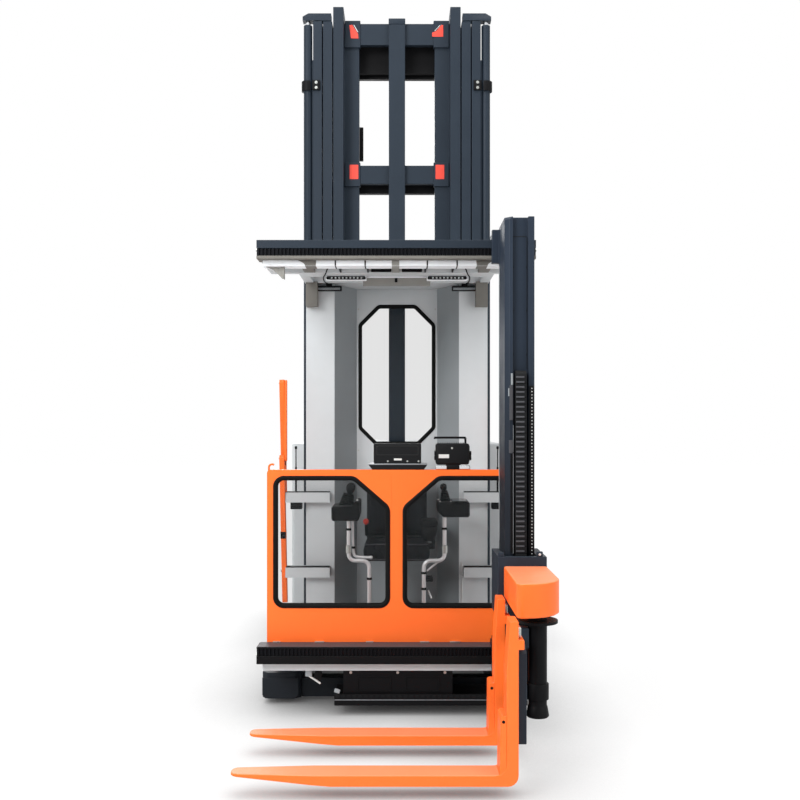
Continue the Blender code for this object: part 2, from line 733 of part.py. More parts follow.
def build_mast():
    """The three stages of the main mast, with the lift cylinders and their rods."""
    build_stage("mast_outer", OUTER_X, OUTER_Y, MAST_TOP, OUTER_CROSS_Y, OUTER_CROSS_Z)

    middle = build_stage("mast_middle", MID_X, MID_Y, MAST_TOP, MID_CROSS_Y, MID_CROSS_Z)
    bracket_bottom = MAST_TOP + CLEAR
    brackets = []
    for side in SIGNS:
        low, high = side_span(side, MID_X[0] + CLEAR, BRACKET_OUTER)
        brackets.append(add_box("bracket", (low, BRACKET_Y[0], bracket_bottom),
                                (high, BRACKET_Y[1], bracket_bottom + BRACKET_HEIGHT),
                                "mast_paint"))
        low, high = side_span(side, MID_X[0] + CLEAR, MID_X[1])
        brackets.append(add_box("neck", (low, BRACKET_Y[0] + CLEAR, MAST_TOP - CUT_ROOM),
                                (high, BRACKET_Y[1] + CLEAR, bracket_bottom + BRACKET_HEIGHT / 2),
                                "mast_paint"))
    combine(middle, brackets, "UNION")

    rods = []
    for name, side in SIDES:
        centre = (side * CYLINDER_X, CYLINDER_Y, 0.0)
        bottom = FRAME_TOP + FIT
        profile = [(0.0, bottom + CYLINDER_FLOOR), (CYLINDER_BORE, bottom + CYLINDER_FLOOR),
                   (CYLINDER_BORE, CYLINDER_TOP), (CYLINDER_RADIUS, CYLINDER_TOP),
                   (CYLINDER_RADIUS, COLLAR_Z[1]), (COLLAR_RADIUS, COLLAR_Z[1]),
                   (COLLAR_RADIUS, COLLAR_Z[0]), (CYLINDER_RADIUS, COLLAR_Z[0]),
                   (CYLINDER_RADIUS, bottom), (0.0, bottom)]
        add_turned(f"lift_cylinder_{name}", profile, centre, "Z", "mast_paint",
                   FINE_SEGMENTS)
        rod_top = bracket_bottom - FIT
        rods.append(add_turned(f"lift_rod_{name}",
                               [(0.0, rod_top), (ROD_RADIUS, rod_top),
                                (ROD_RADIUS, ROD_BOTTOM), (0.0, ROD_BOTTOM)],
                               centre, "Z", "chrome", FINE_SEGMENTS))
    carry((0.0, MID_Y[0], STAGE_BOTTOM), [middle] + rods)

    inner = build_stage("mast_inner", INNER_X, INNER_Y, INNER_TOP, FRONT_WEB_Y[0], INNER_CROSS_Z)
    extras = []
    for side in SIGNS:
        low, high = side_span(side, INNER_X[0] - FRONT_WEB, INNER_X[0] + CLEAR)
        top = INNER_CROSS_Z[-1][1] - CLEAR
        extras.append(add_box("web", (low, FRONT_WEB_Y[0] + CLEAR, STAGE_BOTTOM + CLEAR),
                              (high, FRONT_WEB_Y[1], top), "mast_paint"))
        block_outer = INNER_X[0] - END_BLOCK_ROOM
        low, high = side_span(side, block_outer - END_BLOCK_WIDTH, block_outer)
        for bottom, top in INNER_CROSS_Z[-2:]:
            front = FRONT_WEB_Y[0] - END_BLOCK_PROUD
            extras.append(add_box("block", (low, front, bottom - END_BLOCK_MARGIN),
                                  (high, front + CROSS_DEPTH, top + END_BLOCK_MARGIN),
                                  "mast_paint"))
    extras.append(add_box("pillar", (-PILLAR_HALF, PILLAR_Y[0], STAGE_BOTTOM + 2 * CLEAR),
                          (PILLAR_HALF, PILLAR_Y[1], PILLAR_TOP), "mast_paint"))
    combine(inner, extras, "UNION")
    carry((0.0, INNER_Y[0], STAGE_BOTTOM), [inner])


def deck_outline(front, half, step_y, back_half):
    """Plan outline of the floor or roof, with a tongue that fills the rear recess."""
    return mirrored([(half, front), (half, step_y[0]), (back_half, step_y[1]),
                     (back_half, COLUMN_BACK), (DECK_NECK, COLUMN_BACK),
                     (DECK_TONGUE, DECK_BACK)])


def recess_middle_y(x):
    """The y of the middle of the slanted wall's thickness at an x beside the recess."""
    across = Vector((RECESS_HALF - COLUMN_INNER, RECESS_Y - COLUMN_Y)).normalized()
    start = Vector((COLUMN_INNER, COLUMN_Y)) + Vector((across.y, -across.x)) * (WALL / 2)
    return start.y + (x - start.x) * across.y / across.x


def window_outline(side):
    """Corners and radii of a front window: its upper inner corner is cut off."""
    corners = [(WINDOW_INNER, WINDOW_BOTTOM), (WINDOW_OUTER, WINDOW_BOTTOM),
               (WINDOW_OUTER, WINDOW_TOP), (WINDOW_INNER + WINDOW_CHAMFER, WINDOW_TOP),
               (WINDOW_INNER, WINDOW_TOP - WINDOW_CHAMFER)]
    radii = [WINDOW_RADIUS] * 3 + [CHAMFER_RADIUS] * 2
    if side < 0:
        corners = [(-x, z) for x, z in reversed(corners)]
        radii.reverse()
    return corners, radii


def rear_window_outline():
    """Corners and radii of the eight-sided rear window."""
    half = [(REAR_HALF - REAR_BOTTOM_CHAMFER, REAR_BOTTOM),
            (REAR_HALF, REAR_BOTTOM + REAR_BOTTOM_CHAMFER),
            (REAR_HALF, REAR_TOP - REAR_TOP_CHAMFER),
            (REAR_HALF - REAR_TOP_CHAMFER, REAR_TOP)]
    corners = mirrored(half)
    return corners, [REAR_RADIUS] * len(corners)


def build_floor():
    """Cab floor with the flange that carries the lower rail."""
    outline = deck_outline(PANEL_FRONT, CAB_HALF, FLOOR_STEP_Y, COLUMN_OUTER)
    floor = make_mesh(add_outline("cab_floor", [outline], FLOOR_BOTTOM, FLOOR_TOP,
                                  "Z", "grey_paint"))
    flange_top = LOWER_RAIL_TOP - RAIL_HEIGHT - FIT
    flange = add_box("flange", (-FLANGE_HALF, FLANGE_FRONT, FLOOR_BOTTOM),
                     (FLANGE_HALF, PANEL_FRONT + CUT_ROOM, flange_top), "grey_paint")
    combine(floor, [flange], "UNION")
    return floor


def build_front_panel():
    """Front panel and the glass in its two windows."""
    base = FLOOR_TOP + FIT
    back = PANEL_FRONT + PANEL_DEPTH
    loops = [rectangle((-CAB_HALF, base), (CAB_HALF, PANEL_TOP), PANEL_CORNER)]
    panes = []
    for name, side in SIDES:
        corners, radii = window_outline(side)
        loops.append(rounded(corners, radii))
        glass_front = PANEL_FRONT + GLASS_SET_BACK
        panes.append(add_outline(f"front_glass_{name}", [rounded(*inset(corners, radii, FIT))],
                                 glass_front, glass_front + GLASS, "Y", "glass"))
    panel = add_outline("front_panel", loops, PANEL_FRONT, back, "Y", "orange_paint")
    return [panel] + panes


def build_back_wall():
    """Bent rear wall with the recess, its window, the gate brackets and the mast guides."""
    half = [(COLUMN_OUTER, COLUMN_BACK), (COLUMN_OUTER, COLUMN_Y),
            (COLUMN_INNER, COLUMN_Y), (RECESS_HALF, RECESS_Y)]
    path = [(-x, y) for x, y in half] + list(reversed(half))
    base = FLOOR_TOP + FIT
    points = [(x, y, z) for z in (base, WALL_TOP) for x, y in path]
    count = len(path)
    faces = [(i, i + 1, i + 1 + count, i + count) for i in range(count - 1)]
    mesh = bpy.data.meshes.new("cab_back_wall")
    mesh.from_pydata(points, [], faces)
    wall = place("cab_back_wall", mesh, (0.0, 0.0, 0.0), "grey_paint")
    shell = wall.modifiers.new("wall", "SOLIDIFY")
    shell.thickness = WALL
    shell.offset = -1.0
    shell.use_even_offset = True

    corners, radii = rear_window_outline()
    hole = add_outline("hole", [rounded(corners, radii)], RECESS_Y - CUT_ROOM,
                       RECESS_Y + WALL + CUT_ROOM, "Y", "grey_paint")
    combine(wall, [hole], "DIFFERENCE")
    extras = []
    for side in SIGNS:
        low, high = side_span(side, *GATE_BRACKET_X)
        for z in (GATE_UPPER_Z, GATE_LOWER_Z):
            extras.append(add_box("bracket", (low, GATE_BRACKET_Y, z - GATE_BRACKET_HEIGHT / 2),
                                  (high, GATE_BRACKET_BACK, z + GATE_BRACKET_HEIGHT / 2),
                                  "grey_paint"))
        guide_outer = INNER_X[0] - SLIDE
        guide_inner = guide_outer - GUIDE_WIDTH
        plan = [(guide_outer, recess_middle_y(guide_outer)), (guide_outer, GUIDE_BACK),
                (guide_inner, GUIDE_BACK), (guide_inner, recess_middle_y(guide_inner))]
        extras.append(add_outline("guide", [[(side * x, y) for x, y in plan]],
                                  *GUIDE_Z, "Z", "grey_paint"))
    combine(wall, extras, "UNION")

    middle = RECESS_Y + WALL / 2
    pane = add_outline("rear_glass", [rounded(*inset(corners, radii, FIT))],
                       middle - GLASS / 2, middle + GLASS / 2, "Y", "glass")
    return [wall, pane]


def build_roof():
    """Roof plate on a ribbed frame, with the upper rail's flange and two hangers."""
    frame_top = ROOF_BOTTOM + ROOF_FRAME
    outline = deck_outline(PANEL_FRONT, ROOF_HALF, (ROOF_STEP_Y, ROOF_STEP_Y), ROOF_BACK_HALF)
    front_bay = rectangle((-ROOF_HALF + ROOF_RIM, PANEL_FRONT + ROOF_RIM),
                          (ROOF_HALF - ROOF_RIM, ROOF_STEP_Y - ROOF_RIM))
    bays = [front_bay]
    for side in SIGNS:
        low, high = side_span(side, ROOF_RIM / 2, ROOF_BACK_HALF - ROOF_RIM)
        bays.append(rectangle((low, ROOF_STEP_Y + ROOF_RIB), (high, COLUMN_Y - ROOF_RIM)))
    roof = make_mesh(add_outline("roof", [outline] + bays, ROOF_BOTTOM, frame_top,
                                 "Z", "grey_paint"))
    plate = add_outline("plate", [outline], frame_top - CLEAR, frame_top + ROOF_PLATE,
                        "Z", "grey_paint")
    lip_top = UPPER_RAIL_TOP - UPPER_RAIL_HEIGHT - FIT
    lip = add_box("lip", (-FLANGE_HALF, FLANGE_FRONT, ROOF_LIP_BOTTOM),
                  (FLANGE_HALF, PANEL_FRONT + ROOF_RIM / 2, lip_top), "grey_paint")
    neck = add_box("lip_neck", (-FLANGE_HALF + CLEAR, PANEL_FRONT + CLEAR, lip_top - CLEAR),
                   (FLANGE_HALF - CLEAR, PANEL_FRONT + ROOF_RIM / 2 - CLEAR,
                    ROOF_BOTTOM + CLEAR), "grey_paint")
    extras = [plate, lip, neck]
    for side in SIGNS:
        low, high = side_span(side, COLUMN_OUTER - HANGER_ROOM - HANGER_WIDTH,
                              COLUMN_OUTER - HANGER_ROOM)
        extras.append(add_box("hanger", (low, COLUMN_Y - FIT - HANGER_DEPTH, HANGER_BOTTOM),
                              (high, COLUMN_Y - FIT, ROOF_BOTTOM + CLEAR), "grey_paint"))
    combine(roof, extras, "UNION")
    lights = []
    for name, side in SIDES:
        low, high = side_span(side, *LIGHT_X)
        top = ROOF_BOTTOM - FIT
        lights.append(add_box(f"light_bar_{name}", (low, LIGHT_Y, top - LIGHT_HEIGHT),
                              (high, LIGHT_Y + LIGHT_DEPTH, top), "lamp"))
    return [roof] + lights


def build_rail(name, bottom, top, rack_z):
    """A traverse rail: a bar, and a rack of vertical teeth seated in its front."""
    notch = RAIL_FRONT + RACK_NOTCH
    shape = [(RAIL_FRONT, bottom), (RAIL_BACK, bottom), (RAIL_BACK, top), (RAIL_FRONT, top),
             (RAIL_FRONT, rack_z[1]), (notch, rack_z[1]), (notch, rack_z[0]),
             (RAIL_FRONT, rack_z[0])]
    rail = add_outline(f"{name}_rail", [shape], -RAIL_HALF, RAIL_HALF, "X", "black_paint")
    count = round(2 * RAIL_HALF / TOOTH_PITCH)
    start = -RAIL_HALF
    root = RAIL_FRONT + TOOTH_DEPTH
    comb = [(start, notch - FIT), (start, root)]
    for index in range(count):
        left = start + TOOTH_START + index * TOOTH_PITCH
        right = left + TOOTH_PITCH / 2
        comb += [(left, root), (left + TOOTH_FLANK, RAIL_FRONT),
                 (right - TOOTH_FLANK, RAIL_FRONT), (right, root)]
    comb += [(-start, root), (-start, notch - FIT)]
    rack = add_outline(f"{name}_rack", [comb], rack_z[0] + FIT, rack_z[1] - FIT,
                       "Z", "rack_steel")
    return [rail, rack]


def build_under_floor():
    """Black box and chain tray below the cab floor."""
    box = add_box("chain_tray", (BOX_X[0], BOX_Y[0], BOX_BOTTOM),
                  (BOX_X[1], BOX_Y[1], FLOOR_BOTTOM - FIT), "black_paint")
    inner_z = TRAY_Z[0] + TRAY_WALL
    shape = [(TRAY_Y[0], TRAY_Z[0]), (TRAY_Y[1], TRAY_Z[0]), (TRAY_Y[1], TRAY_Z[1]),
             (TRAY_Y[1] - TRAY_WALL, TRAY_Z[1]), (TRAY_Y[1] - TRAY_WALL, inner_z),
             (TRAY_Y[0] + TRAY_WALL, inner_z), (TRAY_Y[0] + TRAY_WALL, TRAY_Z[1]),
             (TRAY_Y[0], TRAY_Z[1])]
    tray = add_outline("tray", [shape], TRAY_LEFT, CAB_HALF, "X", "black_paint")
    combine(box, [tray], "UNION")
    return box


def bent_path(corners, bend):
    """Points of a tube's middle line through corners, each bend an arc."""
    points = [Vector(corners[0])]
    for before, here, after in zip(corners, corners[1:], corners[2:]):
        here = Vector(here)
        back = (Vector(before) - here).normalized()
        ahead = (Vector(after) - here).normalized()
        centre = here + (back + ahead) * bend
        for step in range(ARC_STEPS + 1):
            angle = math.pi / 2 * step / ARC_STEPS
            points.append(centre - ahead * bend * math.cos(angle) - back * bend * math.sin(angle))
    points.append(Vector(corners[-1]))
    return points


def build_seat():
    """Seat on its column, facing the forks, as base, cushion and backrest."""
    front, back = SEAT_BASE_Y
    stem = [(front, FLOOR_TOP + FIT), (back, FLOOR_TOP + FIT), (back, SEAT_STEM_TOP),
            (back - SEAT_STEM, SEAT_STEM_TOP), (back - SEAT_STEM, CUSHION_Z[0] - FIT),
            (front, CUSHION_Z[0] - FIT)]
    base = add_outline("seat_base", [stem], -SEAT_BASE_HALF, SEAT_BASE_HALF,
                       "X", "black_plastic")
    cushion_back = back - SEAT_STEM - FIT
    cushion = add_box("seat_cushion", (-SEAT_HALF, SEAT_FRONT, CUSHION_Z[0]),
                      (SEAT_HALF, cushion_back, CUSHION_Z[1]), "seat_fabric")
    rest = add_box("seat_backrest", (-BACKREST_HALF, SEAT_BACK_Y, SEAT_STEM_TOP + FIT),
                   (BACKREST_HALF, SEAT_BACK_Y + BACKREST_DEPTH, BACKREST_Z),
                   "seat_fabric")
    for pad in (cushion, rest):
        soften(pad, SOFT_EDGE)
    return [base, cushion, rest]


def build_consoles():
    """Two arm consoles on bent chrome tubes beside the seat."""
    made = []
    for name, side in SIDES:
        low, high = side_span(side, *CONSOLE_X[name])
        front, back = CONSOLE_Y
        bottom, top = CONSOLE_Z[name]
        shape = [(front, bottom + CONSOLE_SLOPE), (front + CONSOLE_SLOPE, bottom),
                 (back, bottom), (back, top), (front + CONSOLE_SLOPE, top)]
        console = add_outline(f"console_{name}", [shape], low, high, "X", "black_plastic")
        path = bent_path([(side * STAND_OUTER, STAND_Y, bottom - FIT),
                          (side * STAND_OUTER, STAND_Y, STAND_CROSS_Z),
                          (side * STAND_INNER, STAND_Y, STAND_CROSS_Z),
                          (side * STAND_INNER, STAND_Y, FLOOR_TOP + FIT)], TUBE_BEND)
        made += [console, add_tube(f"console_stand_{name}", path, TUBE_RADIUS, "chrome")]
    return made


def build_desk():
    """Sloped desk and screen on the front panel's top edge."""
    base = PANEL_TOP + FIT
    back = PANEL_FRONT + PANEL_BASE_DEPTH
    plate = add_box("front_console", (PANEL_BASE_X[0], PANEL_FRONT, base),
                    (PANEL_BASE_X[1], back, base + PANEL_BASE_Z), "black_plastic")
    shape = [(PANEL_FRONT + CLEAR, base + PANEL_BASE_Z / 2), (back - CLEAR, base + PANEL_BASE_Z / 2),
             (back - CLEAR, DESK_TOP - DESK_SLOPE), (back - DESK_SLOPE, DESK_TOP),
             (PANEL_FRONT + CLEAR, DESK_TOP)]
    desk = add_outline("desk", [shape], *DESK_X, "X", "black_plastic")
    combine(plate, [desk], "UNION")
    screen = add_box("screen", (SCREEN_X[0], SCREEN_Y[0], SCREEN_Z[0]),
                     (SCREEN_X[1], SCREEN_Y[1], SCREEN_Z[1]), "black_plastic")
    middle = (SCREEN_X[0] + SCREEN_X[1]) / 2
    foot = add_box("foot", (middle - SCREEN_FOOT / 2, SCREEN_Y[0] + CLEAR, base),
                   (middle + SCREEN_FOOT / 2, PANEL_FRONT + PANEL_DEPTH - CLEAR,
                    SCREEN_Z[0] + CLEAR), "black_plastic")
    combine(screen, [foot], "UNION")
    return [plate, screen]


def gate_bar(name, low, high, pivot, tail):
    """A flat bar with round ends, at the gate's rest angle, with a tail behind its pivot."""
    radius = GATE_BAR_HEIGHT / 2
    angle = math.radians(GATE_REST_DEG)
    along = Vector((-math.cos(angle), math.sin(angle)))
    across = Vector((along.y, -along.x))
    points = []
    for end, facing in ((-tail, -1), (GATE_LENGTH, 1)):
        for step in range(2 * ARC_STEPS + 1):
            turn = math.pi * step / (2 * ARC_STEPS)
            offset = (across * math.cos(turn) + along * math.sin(turn)) * radius * facing
            points.append(tuple(Vector(pivot[1:]) + along * end + offset))
    return add_outline(name, [points], low, high, "X", "orange_paint")


def build_gates():
    """Side gates: an upper and a lower bar on each side, and the link between their tips."""
    angle = math.radians(GATE_REST_DEG)
    tip = (-GATE_LENGTH * math.cos(angle), GATE_LENGTH * math.sin(angle))
    bar_inner = GATE_BRACKET_X[1] + SLIDE
    bar_outer = bar_inner + GATE_BAR_WIDTH
    for name, side in SIDES:
        low, high = side_span(side, bar_inner, bar_outer)
        for part, z, tail in (("upper", GATE_UPPER_Z, 0.0), ("lower", GATE_LOWER_Z, GATE_TAIL)):
            pivot = (side * (bar_inner + bar_outer) / 2, GATE_PIVOT_Y, z)
            carry(pivot, [gate_bar(f"gate_{part}_bar_{name}", low, high, pivot, tail)])
        low, high = side_span(side, bar_inner - SLIDE - GATE_LINK_WIDTH, bar_inner - SLIDE)
        y = GATE_PIVOT_Y + tip[0]
        half = GATE_LINK_HEIGHT / 2
        bottom, top = GATE_LOWER_Z + tip[1], GATE_UPPER_Z + tip[1]
        link = add_outline(f"gate_link_{name}",
                           [rectangle((y - half, bottom - half), (y + half, top + half),
                                      half - GATE_LINK_FLAT)],
                           low, high, "X", "orange_paint")
        carry((side * (bar_inner - SLIDE), y, top), [link])


def build_cab():
    """The cab with everything that rises with it."""
    items = [build_floor()]
    items += build_front_panel()
    items += build_back_wall()
    items += build_roof()
    items += build_rail("lower", LOWER_RAIL_TOP - RAIL_HEIGHT, LOWER_RAIL_TOP, LOWER_RACK_Z)
    items += build_rail("upper", UPPER_RAIL_TOP - UPPER_RAIL_HEIGHT, UPPER_RAIL_TOP,
                        UPPER_RACK_Z)
    items.append(build_under_floor())
    items += build_seat()
    items += build_consoles()
    items += build_desk()
    carry((0.0, COLUMN_Y, FLOOR_TOP), items)
    build_gates()


def build_aux_mast():
    """Auxiliary mast column, open in front, with the shoes that hang it on the rails."""
    left, right = AUX_X - AUX_HALF, AUX_X + AUX_HALF
    floor_y = AUX_FRONT + CHANNEL_DEPTH
    outline = [(left, AUX_BACK), (left, AUX_FRONT + AUX_CHAMFER), (left + AUX_CHAMFER, AUX_FRONT),
               (CHANNEL_X[0], AUX_FRONT), (CHANNEL_X[0], floor_y), (CHANNEL_X[1], floor_y),
               (CHANNEL_X[1], AUX_FRONT), (right, AUX_FRONT), (right, AUX_BACK)]
    column = make_mesh(add_outline("aux_mast", [outline], AUX_BOTTOM, AUX_TOP,
                                   "Z", "mast_paint"))
    face = RAIL_FRONT - SHOE_GAP
    shoes = []
    for z_span, rail_top in ((LOWER_SHOE_Z, LOWER_RAIL_TOP), (UPPER_SHOE_Z, UPPER_RAIL_TOP)):
        lip = rail_top + SLIDE
        shape = [(AUX_BACK - CLEAR, z_span[0]), (face, z_span[0]), (face, lip),
                 (LIP_BACK, lip), (LIP_BACK, lip + LIP_THICKNESS), (face, lip + LIP_THICKNESS),
                 (face, z_span[1]), (AUX_BACK - CLEAR, z_span[1])]
        shoes.append(add_outline("shoe", [shape], AUX_X - SHOE_HALF, AUX_X + SHOE_HALF,
                                 "X", "mast_paint"))
    combine(column, shoes, "UNION")
    carry((AUX_X, AUX_BACK, AUX_BOTTOM), [column])

    back = floor_y - SLIDE
    radius = (back - CHAIN_FRONT) / 2
    low, high = CHAIN_Z
    points = [(back, low), (back, high - radius)]
    for step in range(1, 2 * ARC_STEPS):
        turn = math.pi * step / (2 * ARC_STEPS)
        points.append((back - radius + radius * math.cos(turn),
                       high - radius + radius * math.sin(turn)))
    points.append((CHAIN_FRONT, high - radius))
    count = int((high - radius - low) / LINK_PITCH)
    for index in range(1, count):
        z = high - radius - index * LINK_PITCH
        points += [(CHAIN_FRONT, z + LINK_GROOVE / 2), (CHAIN_FRONT + LINK_DEPTH, z + LINK_GROOVE / 2),
                   (CHAIN_FRONT + LINK_DEPTH, z - LINK_GROOVE / 2), (CHAIN_FRONT, z - LINK_GROOVE / 2)]
    points.append((CHAIN_FRONT, low))
    chain = add_outline("energy_chain", [points], *CHAIN_X, "X", "black_plastic")
    carry((AUX_X, CHAIN_FRONT, low), [chain])


def build_aux_carriage():
    """Carriage that slides on the column, with the swing housing on its front."""
    plate_back = CARRIAGE_FRONT + CARRIAGE_PLATE
    left, right = AUX_X - AUX_HALF, AUX_X + AUX_HALF
    outline = [(CARRIAGE_X[0], CARRIAGE_FRONT), (CARRIAGE_X[1], CARRIAGE_FRONT),
               (CARRIAGE_X[1], CARRIAGE_BACK), (right + CLEAR, CARRIAGE_BACK),
               (right + CLEAR, PAD_Y[1]), (right + SLIDE, PAD_Y[1]),
               (right + SLIDE, PAD_Y[0]), (right + CLEAR, PAD_Y[0]),
               (right + CLEAR, plate_back), (left - CLEAR, plate_back),
               (left - CLEAR, PAD_Y[0]), (left - SLIDE, PAD_Y[0]),
               (left - SLIDE, PAD_Y[1]), (left - CLEAR, PAD_Y[1]),
               (left - CLEAR, CARRIAGE_BACK), (CARRIAGE_X[0], CARRIAGE_BACK)]
    carriage = add_outline("aux_carriage", [outline], *CARRIAGE_Z, "Z", "mast_paint")
    back = CARRIAGE_FRONT - FIT
    corners = [(HOUSING_X[0], HOUSING_FRONT), (HOUSING_X[1], HOUSING_FRONT),
               (HOUSING_X[1], back), (HOUSING_X[0], back)]
    housing = add_outline("swing_housing",
                          [rounded(corners, [HOUSING_SMALL_RADIUS, HOUSING_RADIUS, 0.0, 0.0])],
                          *HOUSING_Z, "Z", "orange_paint")
    carry((AUX_X, CARRIAGE_FRONT, CARRIAGE_Z[0]), [carriage, housing])


def build_fork(name, y):
    """An L-shaped fork: its side outline crossed with its tapered plan outline."""
    heel, tip = FORK_HEEL_X, FORK_HEEL_X - FORK_LENGTH
    blade_top = FORK_BOTTOM + FORK_BLADE
    front = heel - FORK_THICKNESS
    side = [(tip, FORK_BOTTOM + FORK_BLADE - FORK_TIP), (tip + FORK_TAPER, FORK_BOTTOM),
            (heel, FORK_BOTTOM), (heel, FORK_CARRIAGE_Z[1] + FIT),
            (heel + HOOK_DEPTH, FORK_CARRIAGE_Z[1] + FIT),
            (heel + HOOK_DEPTH, FORK_CARRIAGE_Z[1] + HOOK_HEIGHT),
            (heel, FORK_CARRIAGE_Z[1] + HOOK_HEIGHT), (heel, FORK_TOP),
            (heel - FORK_TOP_THICKNESS, FORK_TOP), (front, FORK_TOP - FORK_TAPER / 2),
            (front, blade_top), (tip, blade_top)]
    radii = [0.0, 0.0, FORK_HEEL_RADIUS] + [0.0] * 7 + [FORK_HEEL_RADIUS, 0.0]
    half = FORK_WIDTH / 2
    fork = make_mesh(add_outline(name, [rounded(side, radii)], y - half, y + half,
                                 "Y", "orange_paint"))
    plan = [(tip, y - FORK_TIP_HALF), (tip + FORK_TAPER, y - half - CLEAR),
            (heel + CUT_ROOM, y - half - CLEAR), (heel + CUT_ROOM, y + half + CLEAR),
            (tip + FORK_TAPER, y + half + CLEAR), (tip, y + FORK_TIP_HALF)]
    plan_radii = [FORK_TIP_HALF * FORK_TIP_ROUND, 0.0, 0.0, 0.0, 0.0,
                  FORK_TIP_HALF * FORK_TIP_ROUND]
    trim = add_outline("trim", [rounded(plan, plan_radii)], FORK_BOTTOM - CUT_ROOM,
                       FORK_TOP + CUT_ROOM, "Z", "orange_paint")
    return combine(fork, [trim], "INTERSECT")


def build_fork_head():
    """Vertical pivot with the fork carriage and its two forks, turned to the left."""
    foot_radius, foot_top = PIVOT_FOOT
    collar_radius, collar_bottom, collar_top = PIVOT_COLLAR
    flange_radius, flange_bottom, flange_top = PIVOT_FLANGE
    top = HOUSING_Z[0] - SLIDE
    profile = [(0.0, top), (PIVOT_RADIUS, top), (PIVOT_RADIUS, flange_top),
               (flange_radius, flange_top), (flange_radius, flange_bottom),
               (PIVOT_RADIUS, flange_bottom), (PIVOT_RADIUS, collar_top),
               (collar_radius, collar_top), (collar_radius, collar_bottom),
               (PIVOT_RADIUS, collar_bottom), (PIVOT_RADIUS, foot_top),
               (foot_radius, foot_top), (foot_radius, PIVOT_BOTTOM), (0.0, PIVOT_BOTTOM)]
    column = add_turned("pivot_column", profile, (PIVOT_X, PIVOT_Y, 0.0), "Z", "black_paint")

    front = FORK_HEEL_X + FIT
    back = front + FORK_CARRIAGE_DEPTH
    low, high = FORK_CARRIAGE_Z
    half, chamfer = FORK_CARRIAGE_HALF, FORK_CARRIAGE_CHAMFER
    outer = [(PIVOT_Y - half, low), (PIVOT_Y + half, low), (PIVOT_Y + half, high - chamfer),
             (PIVOT_Y + half - chamfer, high), (PIVOT_Y - half + chamfer, high),
             (PIVOT_Y - half, high - chamfer)]
    gap = rectangle((PIVOT_Y - half + FORK_CARRIAGE_POST, low + FORK_CARRIAGE_BAR),
                    (PIVOT_Y - FORK_CARRIAGE_POST, high - FORK_CARRIAGE_BAR))
    gaps = [gap, [(2 * PIVOT_Y - y, z) for y, z in reversed(gap)]]
    carriage = make_mesh(add_outline("fork_carriage", [outer] + gaps, front, back,
                                     "X", "mast_paint"))
    arms = []
    for (bottom, top), radius in ((PIVOT_COLLAR[1:], collar_radius),
                                  (ARM_UPPER_Z, PIVOT_RADIUS)):
        arms.append(add_box("arm", (back - CLEAR, PIVOT_Y - ARM_HALF, bottom + FIT),
                            (PIVOT_X - radius - FIT, PIVOT_Y + ARM_HALF, top - FIT),
                            "mast_paint"))
    combine(carriage, arms, "UNION")
    forks = [build_fork("fork_front", PIVOT_Y - FORK_SPREAD),
             build_fork("fork_rear", PIVOT_Y + FORK_SPREAD)]
    carry((PIVOT_X, PIVOT_Y, PIVOT_BOTTOM), [column, carriage] + forks)


build_legs()
build_load_wheels()
build_chassis_frame()
build_drive()
build_rear_body()
build_mast()
build_cab()
build_aux_mast()
build_aux_carriage()
build_fork_head()
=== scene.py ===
"""Looks of a man-up turret stacker: cab on a nested mast, side mast on toothed rails, swivel forks.

Every piece is in metres in the truck's own frame: +Z up, -Y towards the forks' end, the origin on
the floor under the middle. A finished piece's object sits at the origin with its place in its mesh.
"""
import json
import logging
import math
from collections.abc import Callable
from dataclasses import dataclass
from enum import Enum

import bmesh
import bpy
import numpy as np
from bpy.types import Material, Mesh, Node, NodeSocket, NodeTree, Object
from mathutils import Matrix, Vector


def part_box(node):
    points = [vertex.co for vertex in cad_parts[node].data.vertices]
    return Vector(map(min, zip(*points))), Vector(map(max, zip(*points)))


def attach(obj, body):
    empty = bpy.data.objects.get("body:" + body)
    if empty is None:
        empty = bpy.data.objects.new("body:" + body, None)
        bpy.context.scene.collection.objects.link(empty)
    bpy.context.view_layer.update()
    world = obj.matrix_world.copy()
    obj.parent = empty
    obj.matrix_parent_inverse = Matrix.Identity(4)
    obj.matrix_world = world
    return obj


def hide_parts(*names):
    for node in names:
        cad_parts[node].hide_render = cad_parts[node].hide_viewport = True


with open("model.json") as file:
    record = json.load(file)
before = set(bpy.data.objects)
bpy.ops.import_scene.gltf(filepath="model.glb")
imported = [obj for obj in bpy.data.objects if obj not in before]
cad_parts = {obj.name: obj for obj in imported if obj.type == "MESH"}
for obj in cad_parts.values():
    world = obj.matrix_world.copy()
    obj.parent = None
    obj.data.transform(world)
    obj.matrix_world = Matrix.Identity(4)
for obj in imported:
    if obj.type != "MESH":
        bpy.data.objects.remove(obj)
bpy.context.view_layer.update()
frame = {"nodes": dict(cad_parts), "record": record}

log = logging.getLogger("turret_stacker")
MM = 0.001
WELD = 1e-5
FLAT_ANGLE = math.radians(0.6)
SHARP_ANGLE = math.radians(32.0)
TAU = 2.0 * math.pi
# Keeps two faces that touch apart
GAP = 0.0002
ORIGIN = (0.0, 0.0, 0.0)
SIDES = (("left", -1), ("right", 1))
BODY_OF = {node: body for body, nodes in frame["record"]["behaviour"]["bodies"].items() for node in nodes}

DUST = "8E8A83"
# The normal's height from which dust lies, and where all of it does
DUST_SLOPE = (0.6, 1.0)
# Share of the colour kept low and high on a surface that is darker towards the bottom
FADE_SHARE = (0.38, 1.08)
BRUSHED_STRETCH = (1.0, 1.0, 0.02)
# Noise values that the roughness follows, and its two ends as shares of the middle value
DRIFT_MIDDLE = (0.25, 0.75)
ROUGHNESS_SPREAD = (0.85, 1.2)


